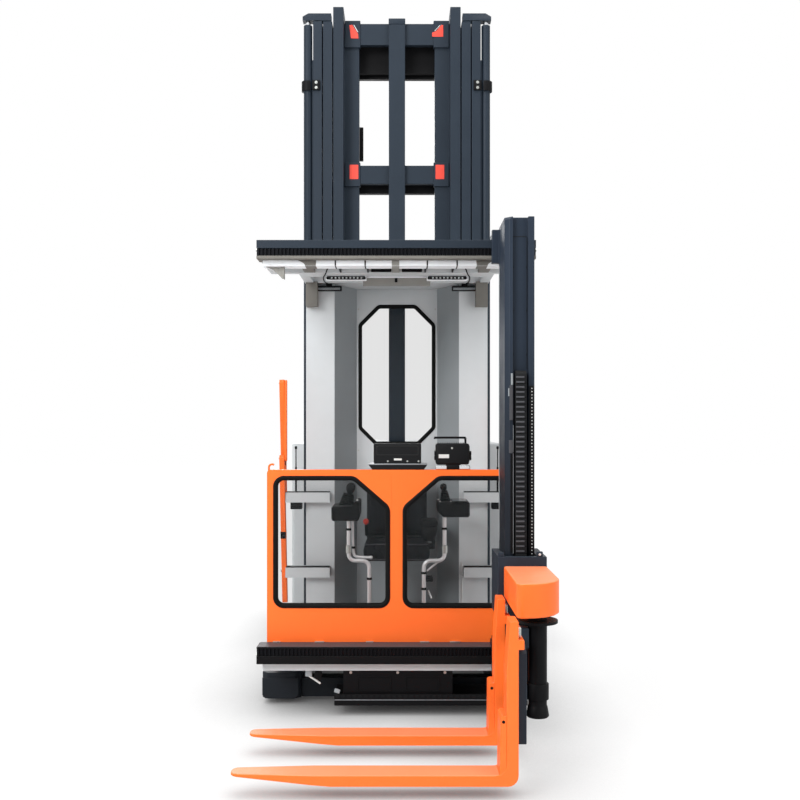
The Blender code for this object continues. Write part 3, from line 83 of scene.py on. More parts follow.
def linear(code: str) -> tuple[float, float, float, float]:
    """An sRGB hex colour such as 'FD763D' as linear red, green, blue and alpha.

    Args:
        code: six hex digits.

    Returns:
        Each channel c becomes ((c + 0.055) / 1.055) ** 2.4, or c / 12.92 near black.
    """
    channels = np.array([int(code[i:i + 2], 16) for i in (0, 2, 4)]) / 255.0
    low = channels / 12.92
    high = ((channels + 0.055) / 1.055) ** 2.4
    return (*np.where(channels <= 0.04045, low, high).tolist(), 1.0)


def add_node(tree: NodeTree, kind: str, settings: dict | None = None,
             inputs: dict | None = None) -> Node:
    """Add one node, set its properties and fill or link its inputs.

    Args:
        tree: the tree that gets the node.
        kind: the node's type name after ShaderNode.
        settings: property name to value.
        inputs: input name or index to a value, or to the socket that feeds it.

    Returns:
        The new node.
    """
    made = tree.nodes.new(f"ShaderNode{kind}")
    for name, value in (settings or {}).items():
        setattr(made, name, value)
    for name, value in (inputs or {}).items():
        if isinstance(value, NodeSocket):
            tree.links.new(value, made.inputs[name])
        else:
            made.inputs[name].default_value = value
    return made


class Grain(Enum):
    """How a surface was made, which decides the pattern of its fine relief."""

    SPRAYED = "sprayed"
    MOULDED = "moulded"
    BRUSHED = "brushed"
    WOVEN = "woven"


@dataclass(frozen=True)
class Finish:
    """One real material and how its surface was made.

    Attributes:
        name: the material's plain name.
        colour: sRGB hex value of the clean surface.
        roughness: middle value of the microscopic roughness.
        metallic: 1 on bare metal.
        grain: pattern of the fine relief.
        grain_mm: size of one bump, thread or brush line.
        relief_mm: height of the fine relief.
        mottle: share by which the colour drifts over a hand's breadth.
        mottle_mm: size of that drift.
        dust: share of settled dust on surfaces that face up.
        alpha: share of light that a pane holds back.
        glow: strength of a lit lens.
        gloss: how strongly the surface mirrors, 0.5 being plain plastic.
        fade_heights: heights in metres between which the colour rises from its low share to its high share,
            if it changes with height.
        slot: the record's material slot; not used.
    """

    name: str
    colour: str
    roughness: float
    metallic: float = 0.0
    grain: Grain = Grain.SPRAYED
    grain_mm: float = 4.0
    relief_mm: float = 0.0
    mottle: float = 0.0
    mottle_mm: float = 120.0
    dust: float = 0.0
    alpha: float = 1.0
    glow: float = 0.0
    gloss: float = 0.5
    fade_heights: tuple = ()
    slot: str = ""

    def relief(self, tree: NodeTree, place: NodeSocket) -> NodeSocket:
        """Height of the fine relief, from 0 to 1, in the pattern of the surface's making.

        Args:
            tree: the material's tree.
            place: object coordinates in metres.

        Returns:
            The height socket.
        """
        scale = 1.0 / (self.grain_mm * MM)
        if self.grain is Grain.WOVEN:
            waves = [add_node(tree, "TexWave", {"bands_direction": way},
                              {"Vector": place, "Scale": scale / TAU}).outputs["Fac"] for way in ("X", "Z")]
            return add_node(tree, "Math", {"operation": "MULTIPLY"}, {0: waves[0], 1: waves[1]}).outputs[0]
        if self.grain is Grain.MOULDED:
            return add_node(tree, "TexVoronoi", {"feature": "SMOOTH_F1"},
                            {"Vector": place, "Scale": scale}).outputs["Distance"]
        stretch = BRUSHED_STRETCH if self.grain is Grain.BRUSHED else (1.0, 1.0, 1.0)
        lined = add_node(tree, "Mapping", None, {"Vector": place, "Scale": stretch})
        return add_node(tree, "TexNoise", None, {"Vector": lined.outputs[0], "Scale": scale,
                                                 "Detail": 2.0}).outputs["Fac"]

    def material(self) -> Material:
        """The Blender material of this finish, made once and then reused."""
        found = bpy.data.materials.get(self.name)
        if found:
            return found
        made = bpy.data.materials.new(self.name)
        made.use_nodes = True
        tree = made.node_tree
        shader = tree.nodes["Principled BSDF"]
        colour = linear(self.colour)
        values = {"Metallic": self.metallic, "Roughness": self.roughness, "Base Color": colour}
        if self.metallic < 1.0:
            values["Specular IOR Level"] = self.gloss
        if self.alpha < 1.0:
            values["Alpha"] = self.alpha
        if self.glow:
            values |= {"Emission Color": colour, "Emission Strength": self.glow}
        for name, value in values.items():
            shader.inputs[name].default_value = value
        place = add_node(tree, "TexCoord").outputs["Object"]
        drift = add_node(tree, "TexNoise", None, {"Vector": place, "Scale": 1.0 / (self.mottle_mm * MM),
                                                  "Detail": 4.0, "Roughness": 0.6}).outputs["Fac"]
        if self.mottle:
            base = np.array(colour[:3])
            ends = [(*np.clip(base * (1.0 + way * self.mottle), 0.0, 1.0).tolist(), 1.0) for way in (-1, 1)]
            ramp = add_node(tree, "Mix", {"data_type": "RGBA"}, {0: drift, 6: ends[0], 7: ends[1]})
            shown = ramp.outputs[2]
            if self.dust:
                shown = self.dusted(tree, shown, drift)
            if self.fade_heights:
                shown = self.darkened_low(tree, shown, place)
            tree.links.new(shown, shader.inputs["Base Color"])
            smoother, rougher = (self.roughness * share for share in ROUGHNESS_SPREAD)
            rough = add_node(tree, "MapRange", None, {0: drift, 1: DRIFT_MIDDLE[0], 2: DRIFT_MIDDLE[1],
                                                      3: smoother, 4: min(rougher, 1.0)})
            tree.links.new(rough.outputs[0], shader.inputs["Roughness"])
        if self.relief_mm:
            bump = add_node(tree, "Bump", None, {"Height": self.relief(tree, place), "Strength": 1.0,
                                                 "Distance": self.relief_mm * MM})
            tree.links.new(bump.outputs[0], shader.inputs["Normal"])
        return made

    def darkened_low(self, tree: NodeTree, colour: NodeSocket,
               place: NodeSocket) -> NodeSocket:
        """Darker low on the surface: the colour times a share that grows with the height.

        Args:
            tree: the material's tree.
            colour: the plain colour.
            place: object coordinates in metres.

        Returns:
            The colour, darker towards the bottom.
        """
        height = add_node(tree, "SeparateXYZ", None, {0: place}).outputs["Z"]
        share = add_node(tree, "MapRange", None, {0: height, 1: self.fade_heights[0], 2: self.fade_heights[1],
                                                  3: FADE_SHARE[0], 4: FADE_SHARE[1]})
        return add_node(tree, "VectorMath", {"operation": "SCALE"},
                        {0: colour, "Scale": share.outputs[0]}).outputs[0]

    def dusted(self, tree: NodeTree, colour: NodeSocket,
               drift: NodeSocket) -> NodeSocket:
        """Settled dust on what faces up: the share is the normal's height times the drift.

        Args:
            tree: the material's tree.
            colour: the clean colour.
            drift: noise from 0 to 1.

        Returns:
            The dusty colour.
        """
        normal = add_node(tree, "NewGeometry").outputs["Normal"]
        height = add_node(tree, "SeparateXYZ", None, {0: normal}).outputs["Z"]
        facing = add_node(tree, "MapRange", None, {0: height, 1: DUST_SLOPE[0], 2: DUST_SLOPE[1]})
        share = add_node(tree, "Math", {"operation": "MULTIPLY"}, {0: facing.outputs[0], 1: drift})
        soft = add_node(tree, "Math", {"operation": "MULTIPLY"}, {0: share.outputs[0], 1: self.dust})
        return add_node(tree, "Mix", {"data_type": "RGBA"},
                        {0: soft.outputs[0], 6: colour, 7: linear(DUST)}).outputs[2]


# Baked polyester powder coat: satin, with the faint orange peel of a sprayed film
ORANGE = Finish("orange_powder_coat", "FE702A", 0.4, relief_mm=0.05, mottle=0.035, dust=0.06, gloss=0.25,
                slot="orange_paint")
GREY = Finish("light_grey_powder_coat", "C4C8CA", 0.48, relief_mm=0.05, mottle=0.05, dust=0.15, gloss=0.35,
              slot="grey_paint")
# The light grey coat made darker: painted shade on the recess's sheets, painted highlights on the side
# mast's column, and plain grey small parts
MID_GREY = Finish("mid_grey_coat", "93999C", 0.52, relief_mm=0.06, mottle=0.1, mottle_mm=220.0,
               gloss=0.3, slot="grey_paint")
# Zinc primer left bare under the roof: dull, warm grey
PRIMER = Finish("zinc_primer", "8B8A85", 0.6, grain_mm=3.0, relief_mm=0.06, mottle=0.12, mottle_mm=60.0,
                gloss=0.25, slot="grey_paint")
# The zinc primer made darker as painted shade: on the roof's arms and arm plates, its underside at the back
# and the upper rail's lower band
SHADED_PRIMER = Finish("primer_with_painted_shade", "716F6A", 0.65, grain_mm=3.0, relief_mm=0.06, mottle=0.15,
              mottle_mm=60.0, gloss=0.15, slot="grey_paint")
# Glass-filled nylon, greyed by wear
NYLON = Finish("aged_nylon", "45464A", 0.55, grain=Grain.MOULDED, grain_mm=1.4, relief_mm=0.05,
               mottle=0.15, mottle_mm=25.0, gloss=0.2, slot="black_plastic")
# Paler orange on faces that look up: painted top light on the swing housing's top, painted top light and
# rubbing by pallets on the forks' tops
TOP_LIGHT_AND_WEAR = Finish("orange_with_painted_top_light_and_wear", "FF8A5A", 0.46, relief_mm=0.08, mottle=0.06, dust=0.1, gloss=0.3,
              slot="orange_paint")
WHITE = Finish("white_coated_sheet", "E6E9EC", 0.45, relief_mm=0.04, mottle=0.02, gloss=0.35,
               slot="grey_paint")
# Air-dried enamel over rolled steel: a little duller, with the steel's unevenness below
SLATE = Finish("slate_enamel_on_steel", "222B35", 0.48, grain_mm=6.0, relief_mm=0.1, mottle=0.1,
               mottle_mm=160.0, dust=0.08, gloss=0.16, slot="mast_paint")
# The side mast's column: the same enamel, darker towards the bottom
SLATE_DARKER_LOW = Finish("slate_enamel_darker_low", "222B37", 0.46, grain_mm=6.0, relief_mm=0.1, mottle=0.12,
               mottle_mm=160.0, gloss=0.16, fade_heights=(1.15, 2.05), slot="mast_paint")
# The slate enamel made darker as painted shade low under the truck: legs, nose plates, beam and frame; also
# the dark joint lines in the side mast's channel
SHADED_SLATE = Finish("slate_enamel_with_painted_shade", "1A1E23", 0.5, grain_mm=6.0, relief_mm=0.1, mottle=0.12,
                 mottle_mm=160.0, dust=0.1, gloss=0.14, slot="mast_paint")
BLACK = Finish("black_enamel_on_steel", "0C0C0E", 0.48, grain_mm=5.0, relief_mm=0.08, mottle=0.16,
               dust=0.06, gloss=0.1, slot="black_paint")
# Blackened gear steel under a film of grease
RACK = Finish("greased_black_steel", "17181B", 0.36, 0.6, Grain.BRUSHED, 0.8, 0.02, mottle=0.2,
              mottle_mm=40.0, gloss=0.1, slot="rack_steel")
CHROME = Finish("hard_chrome", "D5D7DA", 0.12, 1.0, Grain.BRUSHED, 0.5, 0.004, mottle=0.02,
                slot="chrome_rod")
# The same chrome after years of hands and dust: milky, so that it spreads what it mirrors
SATIN = Finish("satin_chrome", "E2E4E6", 0.36, 0.25, Grain.BRUSHED, 0.6, 0.006, mottle=0.04,
               slot="chrome_rod")
ZINC = Finish("zinc_plated_steel", "B9BBB7", 0.3, 1.0, Grain.BRUSHED, 0.6, 0.01, mottle=0.06,
              mottle_mm=15.0, slot="chrome_rod")
STEEL = Finish("machined_steel", "8D9094", 0.32, 1.0, Grain.BRUSHED, 0.8, 0.015, mottle=0.1,
               mottle_mm=30.0, slot="rack_steel")
# Injection-moulded ABS with a spark-eroded grain, drawn coarse enough to show
PLASTIC = Finish("moulded_abs", "101113", 0.52, grain=Grain.MOULDED, grain_mm=1.6, relief_mm=0.06,
                 mottle=0.12, dust=0.06, gloss=0.14, slot="black_plastic")
GLOSS_PLASTIC = Finish("gloss_black_plastic", "0A0B0C", 0.14, mottle=0.05, slot="black_plastic")
RUBBER = Finish("extruded_rubber", "0B0C0C", 0.62, grain_mm=2.0, relief_mm=0.05, mottle=0.12, gloss=0.1,
                slot="black_plastic")
FABRIC = Finish("woven_seat_cloth", "17181B", 0.88, grain=Grain.WOVEN, grain_mm=3.0, relief_mm=0.35,
                mottle=0.15, mottle_mm=60.0, gloss=0.12, slot="seat_fabric")
# Cast polyurethane: amber brown, waxy, scuffed by the floor
TREAD = Finish("cast_polyurethane", "3A2E26", 0.52, grain_mm=3.0, relief_mm=0.1, mottle=0.18,
               mottle_mm=50.0, slot="wheel_tyre")
PANE = Finish("clear_float_glass", "1B2325", 0.02, alpha=0.13, slot="window_glass")
LENS = Finish("clear_polycarbonate", "BFC3C3", 0.12, mottle=0.02, glow=0.08, slot="lamp_lens")
RED = Finish("red_nylon", "E0402E", 0.45, grain=Grain.MOULDED, grain_mm=1.5, relief_mm=0.05, mottle=0.1,
             mottle_mm=30.0, slot="orange_paint")
LABEL = Finish("blank_white_label", "D2D3D1", 0.4, mottle=0.03, slot="grey_paint")


@dataclass
class Shape:
    """Points and polygons held as whole arrays.

    Attributes:
        points: one row of x, y, z for each vertex.
        loops: vertex numbers of all polygons, one after another.
        sizes: number of corners of each polygon.
    """

    points: np.ndarray
    loops: np.ndarray
    sizes: np.ndarray

    @staticmethod
    def joined(shapes: "list[Shape]") -> "Shape":
        """Several shapes as one, each one's vertex numbers raised by those before it.

        Args:
            shapes: the shapes.

        Returns:
            The joined shape.
        """
        counts = np.cumsum([0] + [len(s.points) for s in shapes[:-1]])
        return Shape(np.concatenate([s.points for s in shapes]),
                     np.concatenate([s.loops + n for s, n in zip(shapes, counts)]),
                     np.concatenate([s.sizes for s in shapes]))

    def moved(self, offset: tuple[float, float, float]) -> "Shape":
        """The shape shifted by an offset."""
        return Shape(self.points + np.array(offset), self.loops, self.sizes)

    def turned(self, axis: str, degrees: float, centre: tuple = ORIGIN) -> "Shape":
        """The shape turned about an axis through a centre, by the right-hand rule.

        Args:
            axis: X, Y or Z.
            degrees: the angle.
            centre: a point on the axis.

        Returns:
            The turned shape; the two other coordinates are mixed by cosine and sine.
        """
        i, j = {"X": (1, 2), "Y": (2, 0), "Z": (0, 1)}[axis]
        angle = math.radians(degrees)
        local = self.points - np.array(centre)
        out = local.copy()
        out[:, i] = local[:, i] * math.cos(angle) - local[:, j] * math.sin(angle)
        out[:, j] = local[:, i] * math.sin(angle) + local[:, j] * math.cos(angle)
        return Shape(out + np.array(centre), self.loops, self.sizes)

    def flipped(self, side: int) -> "Shape":
        """The shape mirrored to the other side of the truck where side is -1.

        Args:
            side: 1 keeps the shape, -1 mirrors it in x.

        Returns:
            The shape with its corners in reverse order, so that it still faces out.
        """
        if side > 0:
            return self
        ends = np.cumsum(self.sizes)
        starts = ends - self.sizes
        index = np.concatenate([np.arange(e - 1, s - 1, -1) for s, e in zip(starts, ends)])
        return Shape(self.points * np.array([-1.0, 1.0, 1.0]), self.loops[index], self.sizes)

    def repeated(self, offsets: np.ndarray) -> "Shape":
        """Copies of the shape at each offset, by adding every offset row to every point.

        Args:
            offsets: one row of x, y, z for each copy.

        Returns:
            All copies as one shape.
        """
        offsets = np.asarray(offsets, float).reshape(-1, 3)
        count = len(offsets)
        points = (self.points[None] + offsets[:, None]).reshape(-1, 3)
        steps = np.arange(count)[:, None] * len(self.points)
        return Shape(points, (self.loops[None] + steps).reshape(-1), np.tile(self.sizes, count))


def lattice(grid: np.ndarray, close_rows: bool = False) -> Shape:
    """Quads between the points of a grid whose columns close, and a polygon over each open end.

    Args:
        grid: array of rows, columns and 3.
        close_rows: join the last row to the first.

    Returns:
        The shape; quad (r, c) has corners (r, c), (r, c+1), (r+1, c+1), (r+1, c).
    """
    rows, columns = grid.shape[:2]
    numbers = np.arange(rows * columns).reshape(rows, columns)
    below = np.concatenate([numbers, numbers[:1]]) if close_rows else numbers
    wide = np.concatenate([below, below[:, :1]], 1)
    quads = np.stack([wide[:-1, :-1], wide[:-1, 1:], wide[1:, 1:], wide[1:, :-1]], -1)
    loops, sizes = [quads.reshape(-1)], [np.full(quads[..., 0].size, 4)]
    if not close_rows:
        loops += [numbers[0][::-1], numbers[-1]]
        sizes += [np.array([columns]), np.array([columns])]
    return Shape(grid.reshape(-1, 3), np.concatenate(loops), np.concatenate(sizes))


def ring(radius: float, count: int = 24) -> np.ndarray:
    """Points of a circle, counter-clockwise, as rows of two."""
    angle = np.arange(count) * TAU / count
    return np.stack([np.cos(angle), np.sin(angle)], -1) * radius


def rounded_outline(corners: list, radii: list, steps: int = 6) -> np.ndarray:
    """A polygon with an arc in place of each corner.

    Args:
        corners: points, counter-clockwise.
        radii: one radius for each corner; 0 keeps it sharp.
        steps: pieces of each arc.

    Returns:
        Rows of two. Each arc's centre lies on the corner's bisector at radius / sin(half angle),
        and its points turn from one tangent point to the other.
    """
    points = []
    for index, (corner, radius) in enumerate(zip(corners, radii)):
        here = np.array(corner, float)
        if radius <= 0.0:
            points.append(here[None])
            continue
        back = np.array(corners[index - 1], float) - here
        ahead = np.array(corners[(index + 1) % len(corners)], float) - here
        back, ahead = back / np.linalg.norm(back), ahead / np.linalg.norm(ahead)
        half = math.acos(float(np.clip(back @ ahead, -1.0, 1.0))) / 2
        middle = (back + ahead) / np.linalg.norm(back + ahead)
        centre = here + middle * radius / math.sin(half)
        start = here + back * radius / math.tan(half) - centre
        sweep = math.pi - 2 * half
        if back[0] * ahead[1] - back[1] * ahead[0] > 0:
            sweep = -sweep
        turn = np.linspace(0.0, sweep, steps + 1)[:, None]
        across = np.array([-start[1], start[0]])
        points.append(centre + start * np.cos(turn) + across * np.sin(turn))
    return np.concatenate(points)


def rectangle(low: tuple, high: tuple, radius: float = 0.0, steps: int = 6) -> np.ndarray:
    """A rectangle between two corners, counter-clockwise, with round corners."""
    corners = [low, (high[0], low[1]), high, (low[0], high[1])]
    return rounded_outline(corners, [radius] * 4, steps)


def swept(path: np.ndarray, section: np.ndarray, up: tuple = (0.0, 0.0, 1.0),
          closed: bool = False, scale: np.ndarray | None = None) -> Shape:
    """A flat section carried along a path.

    Args:
        path: rows of x, y, z.
        section: rows of two, counter-clockwise, as side and up of the path.
        up: a direction that the path never runs along.
        closed: the path returns to its start.
        scale: a size factor for each path point.

    Returns:
        The shape. The path's direction is the difference of its neighbours, the side is direction
        cross up, and each point is path + side * u + lift * v, with lift = side cross direction.
    """
    if closed:
        direction = np.roll(path, -1, 0) - np.roll(path, 1, 0)
    else:
        direction = np.gradient(path, axis=0)
    direction = direction / np.linalg.norm(direction, axis=1, keepdims=True)
    side = np.cross(direction, np.array(up, float))
    side = side / np.linalg.norm(side, axis=1, keepdims=True)
    lift = np.cross(side, direction)
    size = np.ones(len(path)) if scale is None else scale
    grid = (path[:, None] + size[:, None, None] * (side[:, None] * section[None, :, :1] + lift[:, None]
                                                   * section[None, :, 1:]))
    return lattice(grid[:, ::-1], close_rows=closed)


def lathe_grid(profile: np.ndarray, count: int) -> np.ndarray:
    """Grid of a profile turned about z: rows along the profile, columns around."""
    angle = (np.arange(count) * TAU / count)[None, :]
    return np.stack([profile[:, :1] * np.cos(angle), profile[:, :1] * np.sin(angle),
                     profile[:, 1:] + 0.0 * angle], -1)


def lathed(profile: list, centre: tuple = ORIGIN, axis: str = "Z", count: int = 48) -> Shape:
    """A profile turned about an axis.

    Args:
        profile: rows of radius and height, from the bottom up along the outside; a first or last
            row at radius 0 ends in a polygon.
        centre: the axis's origin.
        axis: X, Y or Z.
        count: points around.

    Returns:
        The shape; each point is (r cos a, r sin a, h) with the axes renamed in turn.
    """
    profile = np.asarray(profile, float)
    profile = profile[profile[:, 0] > 1e-6]
    order = {"Z": [0, 1, 2], "X": [2, 0, 1], "Y": [1, 2, 0]}[axis]
    return lattice(lathe_grid(profile, count)[..., order]).moved(centre)


def prism(outline: list, low: float, high: float, axis: str = "Z",
          edge: float = 0.0) -> Shape:
    """A flat outline between two heights along an axis, with a small chamfer at both ends.

    Args:
        outline: rows of two, counter-clockwise: (x, y), (x, z) or (y, z).
        low: lower end.
        high: upper end.
        axis: Z, Y or X.
        edge: chamfer, as a shrink of the outline towards its middle.

    Returns:
        The closed shape.
    """
    outline = np.asarray(outline, float)
    middle = (outline.min(0) + outline.max(0)) / 2
    half = np.maximum((outline.max(0) - outline.min(0)) / 2, 1e-6)
    small = middle + (outline - middle) * (1.0 - edge / half)
    rows = [(small, low), (outline, low + edge), (outline, high - edge), (small, high)]
    if edge <= 0.0:
        rows = [rows[1], rows[2]]
    grid = np.stack([np.column_stack([flat, np.full(len(flat), level)]) for flat, level in rows])
    order = {"Z": [0, 1, 2], "X": [2, 0, 1], "Y": [0, 2, 1]}[axis]
    if axis == "Y":
        grid = grid[:, ::-1]
    return lattice(grid[..., order])


def block(low: tuple, high: tuple, radius: float = 0.002, steps: int = 3) -> Shape:
    """A box with every edge and corner round.

    Args:
        low: lowest corner.
        high: highest corner.
        radius: edge radius.
        steps: pieces of each quarter circle.

    Returns:
        The closed shape. It is a sphere of the radius, cut in eight and moved apart: a point is
        the sphere's point plus the inner box's corner on the same side.
    """
    low, high = np.array(low, float), np.array(high, float)
    middle, half = (low + high) / 2, (high - low) / 2
    radius = min(radius, *(half * 0.999))
    inner = half - radius
    quarter = np.linspace(0.0, math.pi / 2, steps + 1)
    around = np.concatenate([quarter + k * math.pi / 2 for k in range(4)])
    sides = np.repeat(np.array([[1, 1], [-1, 1], [-1, -1], [1, -1]]), steps + 1, axis=0)
    rise = np.concatenate([quarter - math.pi / 2, quarter])
    ends = np.repeat([-1.0, 1.0], steps + 1)
    x = radius * np.cos(rise)[:, None] * np.cos(around)[None] + inner[0] * sides[None, :, 0]
    y = radius * np.cos(rise)[:, None] * np.sin(around)[None] + inner[1] * sides[None, :, 1]
    z = (radius * np.sin(rise) + inner[2] * ends)[:, None] + 0.0 * x
    return lattice(np.stack([x, y, z], -1)).moved(tuple(middle))


def bolt_heads(places: list, radius: float = 0.008, height: float = 0.006, axis: str = "Y",
               way: int = -1) -> Shape:
    """Hexagon bolt heads with a washer under each, one at each place.

    Args:
        places: rows of x, y, z on the surface.
        radius: half the width across corners.
        height: of the head.
        axis: the direction that the heads stand along.
        way: 1 or -1 along that axis.

    Returns:
        All heads as one shape.
    """
    hexagon = lathed([[radius, 0.0], [radius, height * 0.8], [radius * 0.82, height]], axis=axis, count=6)
    washer = lathed([[radius * 1.35, 0.0], [radius * 1.35, height * 0.22]], axis=axis, count=20)
    head = Shape.joined([hexagon, washer])
    if way < 0:
        head = head.turned({"Y": "X", "X": "Y", "Z": "X"}[axis], 180.0)
    return head.repeated(places)


def put(name: str, shape: Shape | list, finish: Finish, body: str = "cab",
        replaces: tuple = ()) -> Object:
    """Make a piece from a shape, give it its finish and let it ride on a body.

    Args:
        name: the piece's name.
        shape: its points and polygons, or a list of shapes to join.
        finish: its material.
        body: the moving body that carries it.
        replaces: nodes that the piece stands for.

    Returns:
        The piece.
    """
    if isinstance(shape, list):
        shape = Shape.joined(shape)
    mesh = bpy.data.meshes.new(name)
    mesh.vertices.add(len(shape.points))
    mesh.vertices.foreach_set("co", shape.points.astype(np.float32).reshape(-1))
    mesh.loops.add(len(shape.loops))
    mesh.loops.foreach_set("vertex_index", shape.loops.astype(np.int32))
    mesh.polygons.add(len(shape.sizes))
    starts = np.cumsum(shape.sizes) - shape.sizes
    mesh.polygons.foreach_set("loop_start", starts.astype(np.int32))
    mesh.polygons.foreach_set("loop_total", shape.sizes.astype(np.int32))
    mesh.update(calc_edges=True)
    return settle(name, mesh, finish, body, replaces)


def linked(name: str, data: bpy.types.ID) -> Object:
    """A new object with this data, in the scene."""
    made = bpy.data.objects.new(name, data)
    bpy.context.scene.collection.objects.link(made)
    return made


def settle(name: str, mesh: Mesh, finish: Finish, body: str,
           replaces: tuple) -> Object:
    """Weld a mesh, turn its faces outwards and link it as a piece.

    Args:
        name: the piece's name.
        mesh: its mesh.
        finish: its material.
        body: the moving body that carries it.
        replaces: nodes that the piece stands for.

    Returns:
        The piece, shaded round where the angle is small.
    """
    shape = bmesh.new()
    shape.from_mesh(mesh)
    bmesh.ops.remove_doubles(shape, verts=shape.verts, dist=WELD)
    bmesh.ops.recalc_face_normals(shape, faces=shape.faces)
    shape.to_mesh(mesh)
    shape.free()
    mesh.shade_smooth()
    mesh.set_sharp_from_angle(angle=SHARP_ANGLE)
    mesh.materials.clear()
    mesh.materials.append(finish.material())
    piece = linked(name, mesh)
    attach(piece, body)
    if replaces:
        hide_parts(*replaces)
    log.info("%s: %d faces on %s", name, len(mesh.polygons), body)
    return piece


def dress(node: str, finish: Finish, edge: float = 0.002, segments: int = 2) -> Object:
    """A node's own form with its flat faces whole again and its edges rounded.

    Args:
        node: the node that the piece stands for.
        finish: its material.
        edge: width of the rounding; 0 leaves the edges sharp.
        segments: faces across each rounding.

    Returns:
        The piece, which replaces the node.
    """
    mesh = bpy.data.meshes.new(f"{node}_skin")
    shape = bmesh.new()
    shape.from_mesh(frame["nodes"][node].data)
    bmesh.ops.remove_doubles(shape, verts=shape.verts, dist=WELD)
    bmesh.ops.dissolve_limit(shape, angle_limit=FLAT_ANGLE, verts=shape.verts, edges=shape.edges)
    shape.to_mesh(mesh)
    shape.free()
    piece = settle(f"{node}_skin", mesh, finish, BODY_OF[node], (node,))
    if edge > 0.0:
        bevel = piece.modifiers.new("edges", "BEVEL")
        bevel.width = edge
        bevel.segments = segments
        bevel.limit_method = "ANGLE"
        bevel.angle_limit = SHARP_ANGLE
        bevel.harden_normals = True
        bevel.use_clamp_overlap = True
    return piece


def bar(x: tuple, z: tuple) -> list:
    """The four corners of an upright rectangle between two x and two z."""
    return [(x[0], z[0]), (x[1], z[0]), (x[1], z[1]), (x[0], z[1])]


def plates(outlines: list, front: float, back: float, edge: float = 0.0004) -> Shape:
    """Flat plates of one thickness, each from a counter-clockwise (x, z) outline."""
    return Shape.joined([prism(outline, front, back, "Y", edge) for outline in outlines])


def trimmed(piece: Object, point: tuple, away: tuple) -> None:
    """Cut off what lies beyond a plane and close the cut.

    Args:
        piece: the piece.
        point: a point of the plane.
        away: the plane's normal, towards the side that goes.
    """
    shape = bmesh.new()
    shape.from_mesh(piece.data)
    bmesh.ops.bisect_plane(shape, geom=[*shape.verts, *shape.edges, *shape.faces], dist=WELD,
                           plane_co=point, plane_no=away, clear_outer=True)
    rim = [edge for edge in shape.edges if edge.is_boundary]
    bmesh.ops.holes_fill(shape, edges=rim)
    bmesh.ops.recalc_face_normals(shape, faces=shape.faces)
    shape.to_mesh(piece.data)
    shape.free()


def spaced(shape: Shape, axis: str, values: np.ndarray) -> Shape:
    """Copies of a shape moved along one axis by each value."""
    offsets = np.zeros((len(values), 3))
    offsets[:, "XYZ".index(axis)] = values
    return shape.repeated(offsets)


def smooth_path(points: list, steps: int) -> np.ndarray:
    """The Catmull-Rom curve through points.

    Args:
        points: rows of x, y, z.
        steps: pieces between two points.

    Returns:
        Rows of x, y, z: half of (2 b + (c - a) t + (2a - 5b + 4c - d) t^2 + (3b - a - 3c + d) t^3)
        between b and c, with the end points repeated.
    """
    points = np.asarray(points, float)
    full = np.concatenate([points[:1], points, points[-1:]])
    a, b, c, d = (full[k:len(full) - 3 + k][:, None] for k in range(4))
    t = (np.arange(steps) / steps)[None, :, None]
    curve = 0.5 * (2 * b + (c - a) * t + (2 * a - 5 * b + 4 * c - d) * t ** 2 + (3 * b - a - 3 * c + d)
                   * t ** 3)
    return np.concatenate([curve.reshape(-1, 3), points[-1:]])


def tube(points: list, radius: float, up: tuple = (0.0, 1.0, 0.0), steps: int = 8,
         count: int = 16) -> Shape:
    """A round section along the smooth curve through points.

    Args:
        points: rows of x, y, z.
        radius: of the section.
        up: a direction that the curve never runs along.
        steps: pieces between two points.
        count: points around.

    Returns:
        The closed tube.
    """
    return swept(smooth_path(points, steps), ring(radius, count), up)


def pair(stem: str, shape: Shape | list, finish: Finish, body: str = "cab") -> None:
    """The same piece on the right and, mirrored, on the left.

    Args:
        stem: the pieces' name without the side.
        shape: the right one's shape, or a list of shapes to join.
        finish: its material.
        body: the moving body that carries it.
    """
    if isinstance(shape, list):
        shape = Shape.joined(shape)
    for name, side in SIDES:
        put(f"{stem}_{name}", shape.flipped(side), finish, body)


def points_of(mesh: Mesh) -> np.ndarray:
    """A mesh's points as rows of x, y, z."""
    flat = np.empty(len(mesh.vertices) * 3, np.float32)
    mesh.vertices.foreach_get("co", flat)
    return flat.reshape(-1, 3).astype(float)


def bake_modifiers(piece: Object) -> None:
    """Replace a piece's mesh by what its modifiers make of it, and drop them."""
    graph = bpy.context.evaluated_depsgraph_get()
    mesh = bpy.data.meshes.new_from_object(piece.evaluated_get(graph))
    piece.modifiers.clear()
    piece.data = mesh


def seen_directly(tree: NodeTree) -> NodeSocket:
    """1 for rays from the camera, off gloss and through glass, else 0."""
    path = add_node(tree, "LightPath").outputs
    first = add_node(tree, "Math", {"operation": "MAXIMUM"},
                     {0: path["Is Camera Ray"], 1: path["Is Transmission Ray"]})
    return add_node(tree, "Math", {"operation": "MAXIMUM"},
                    {0: first.outputs[0], 1: path["Is Glossy Ray"]}).outputs[0]


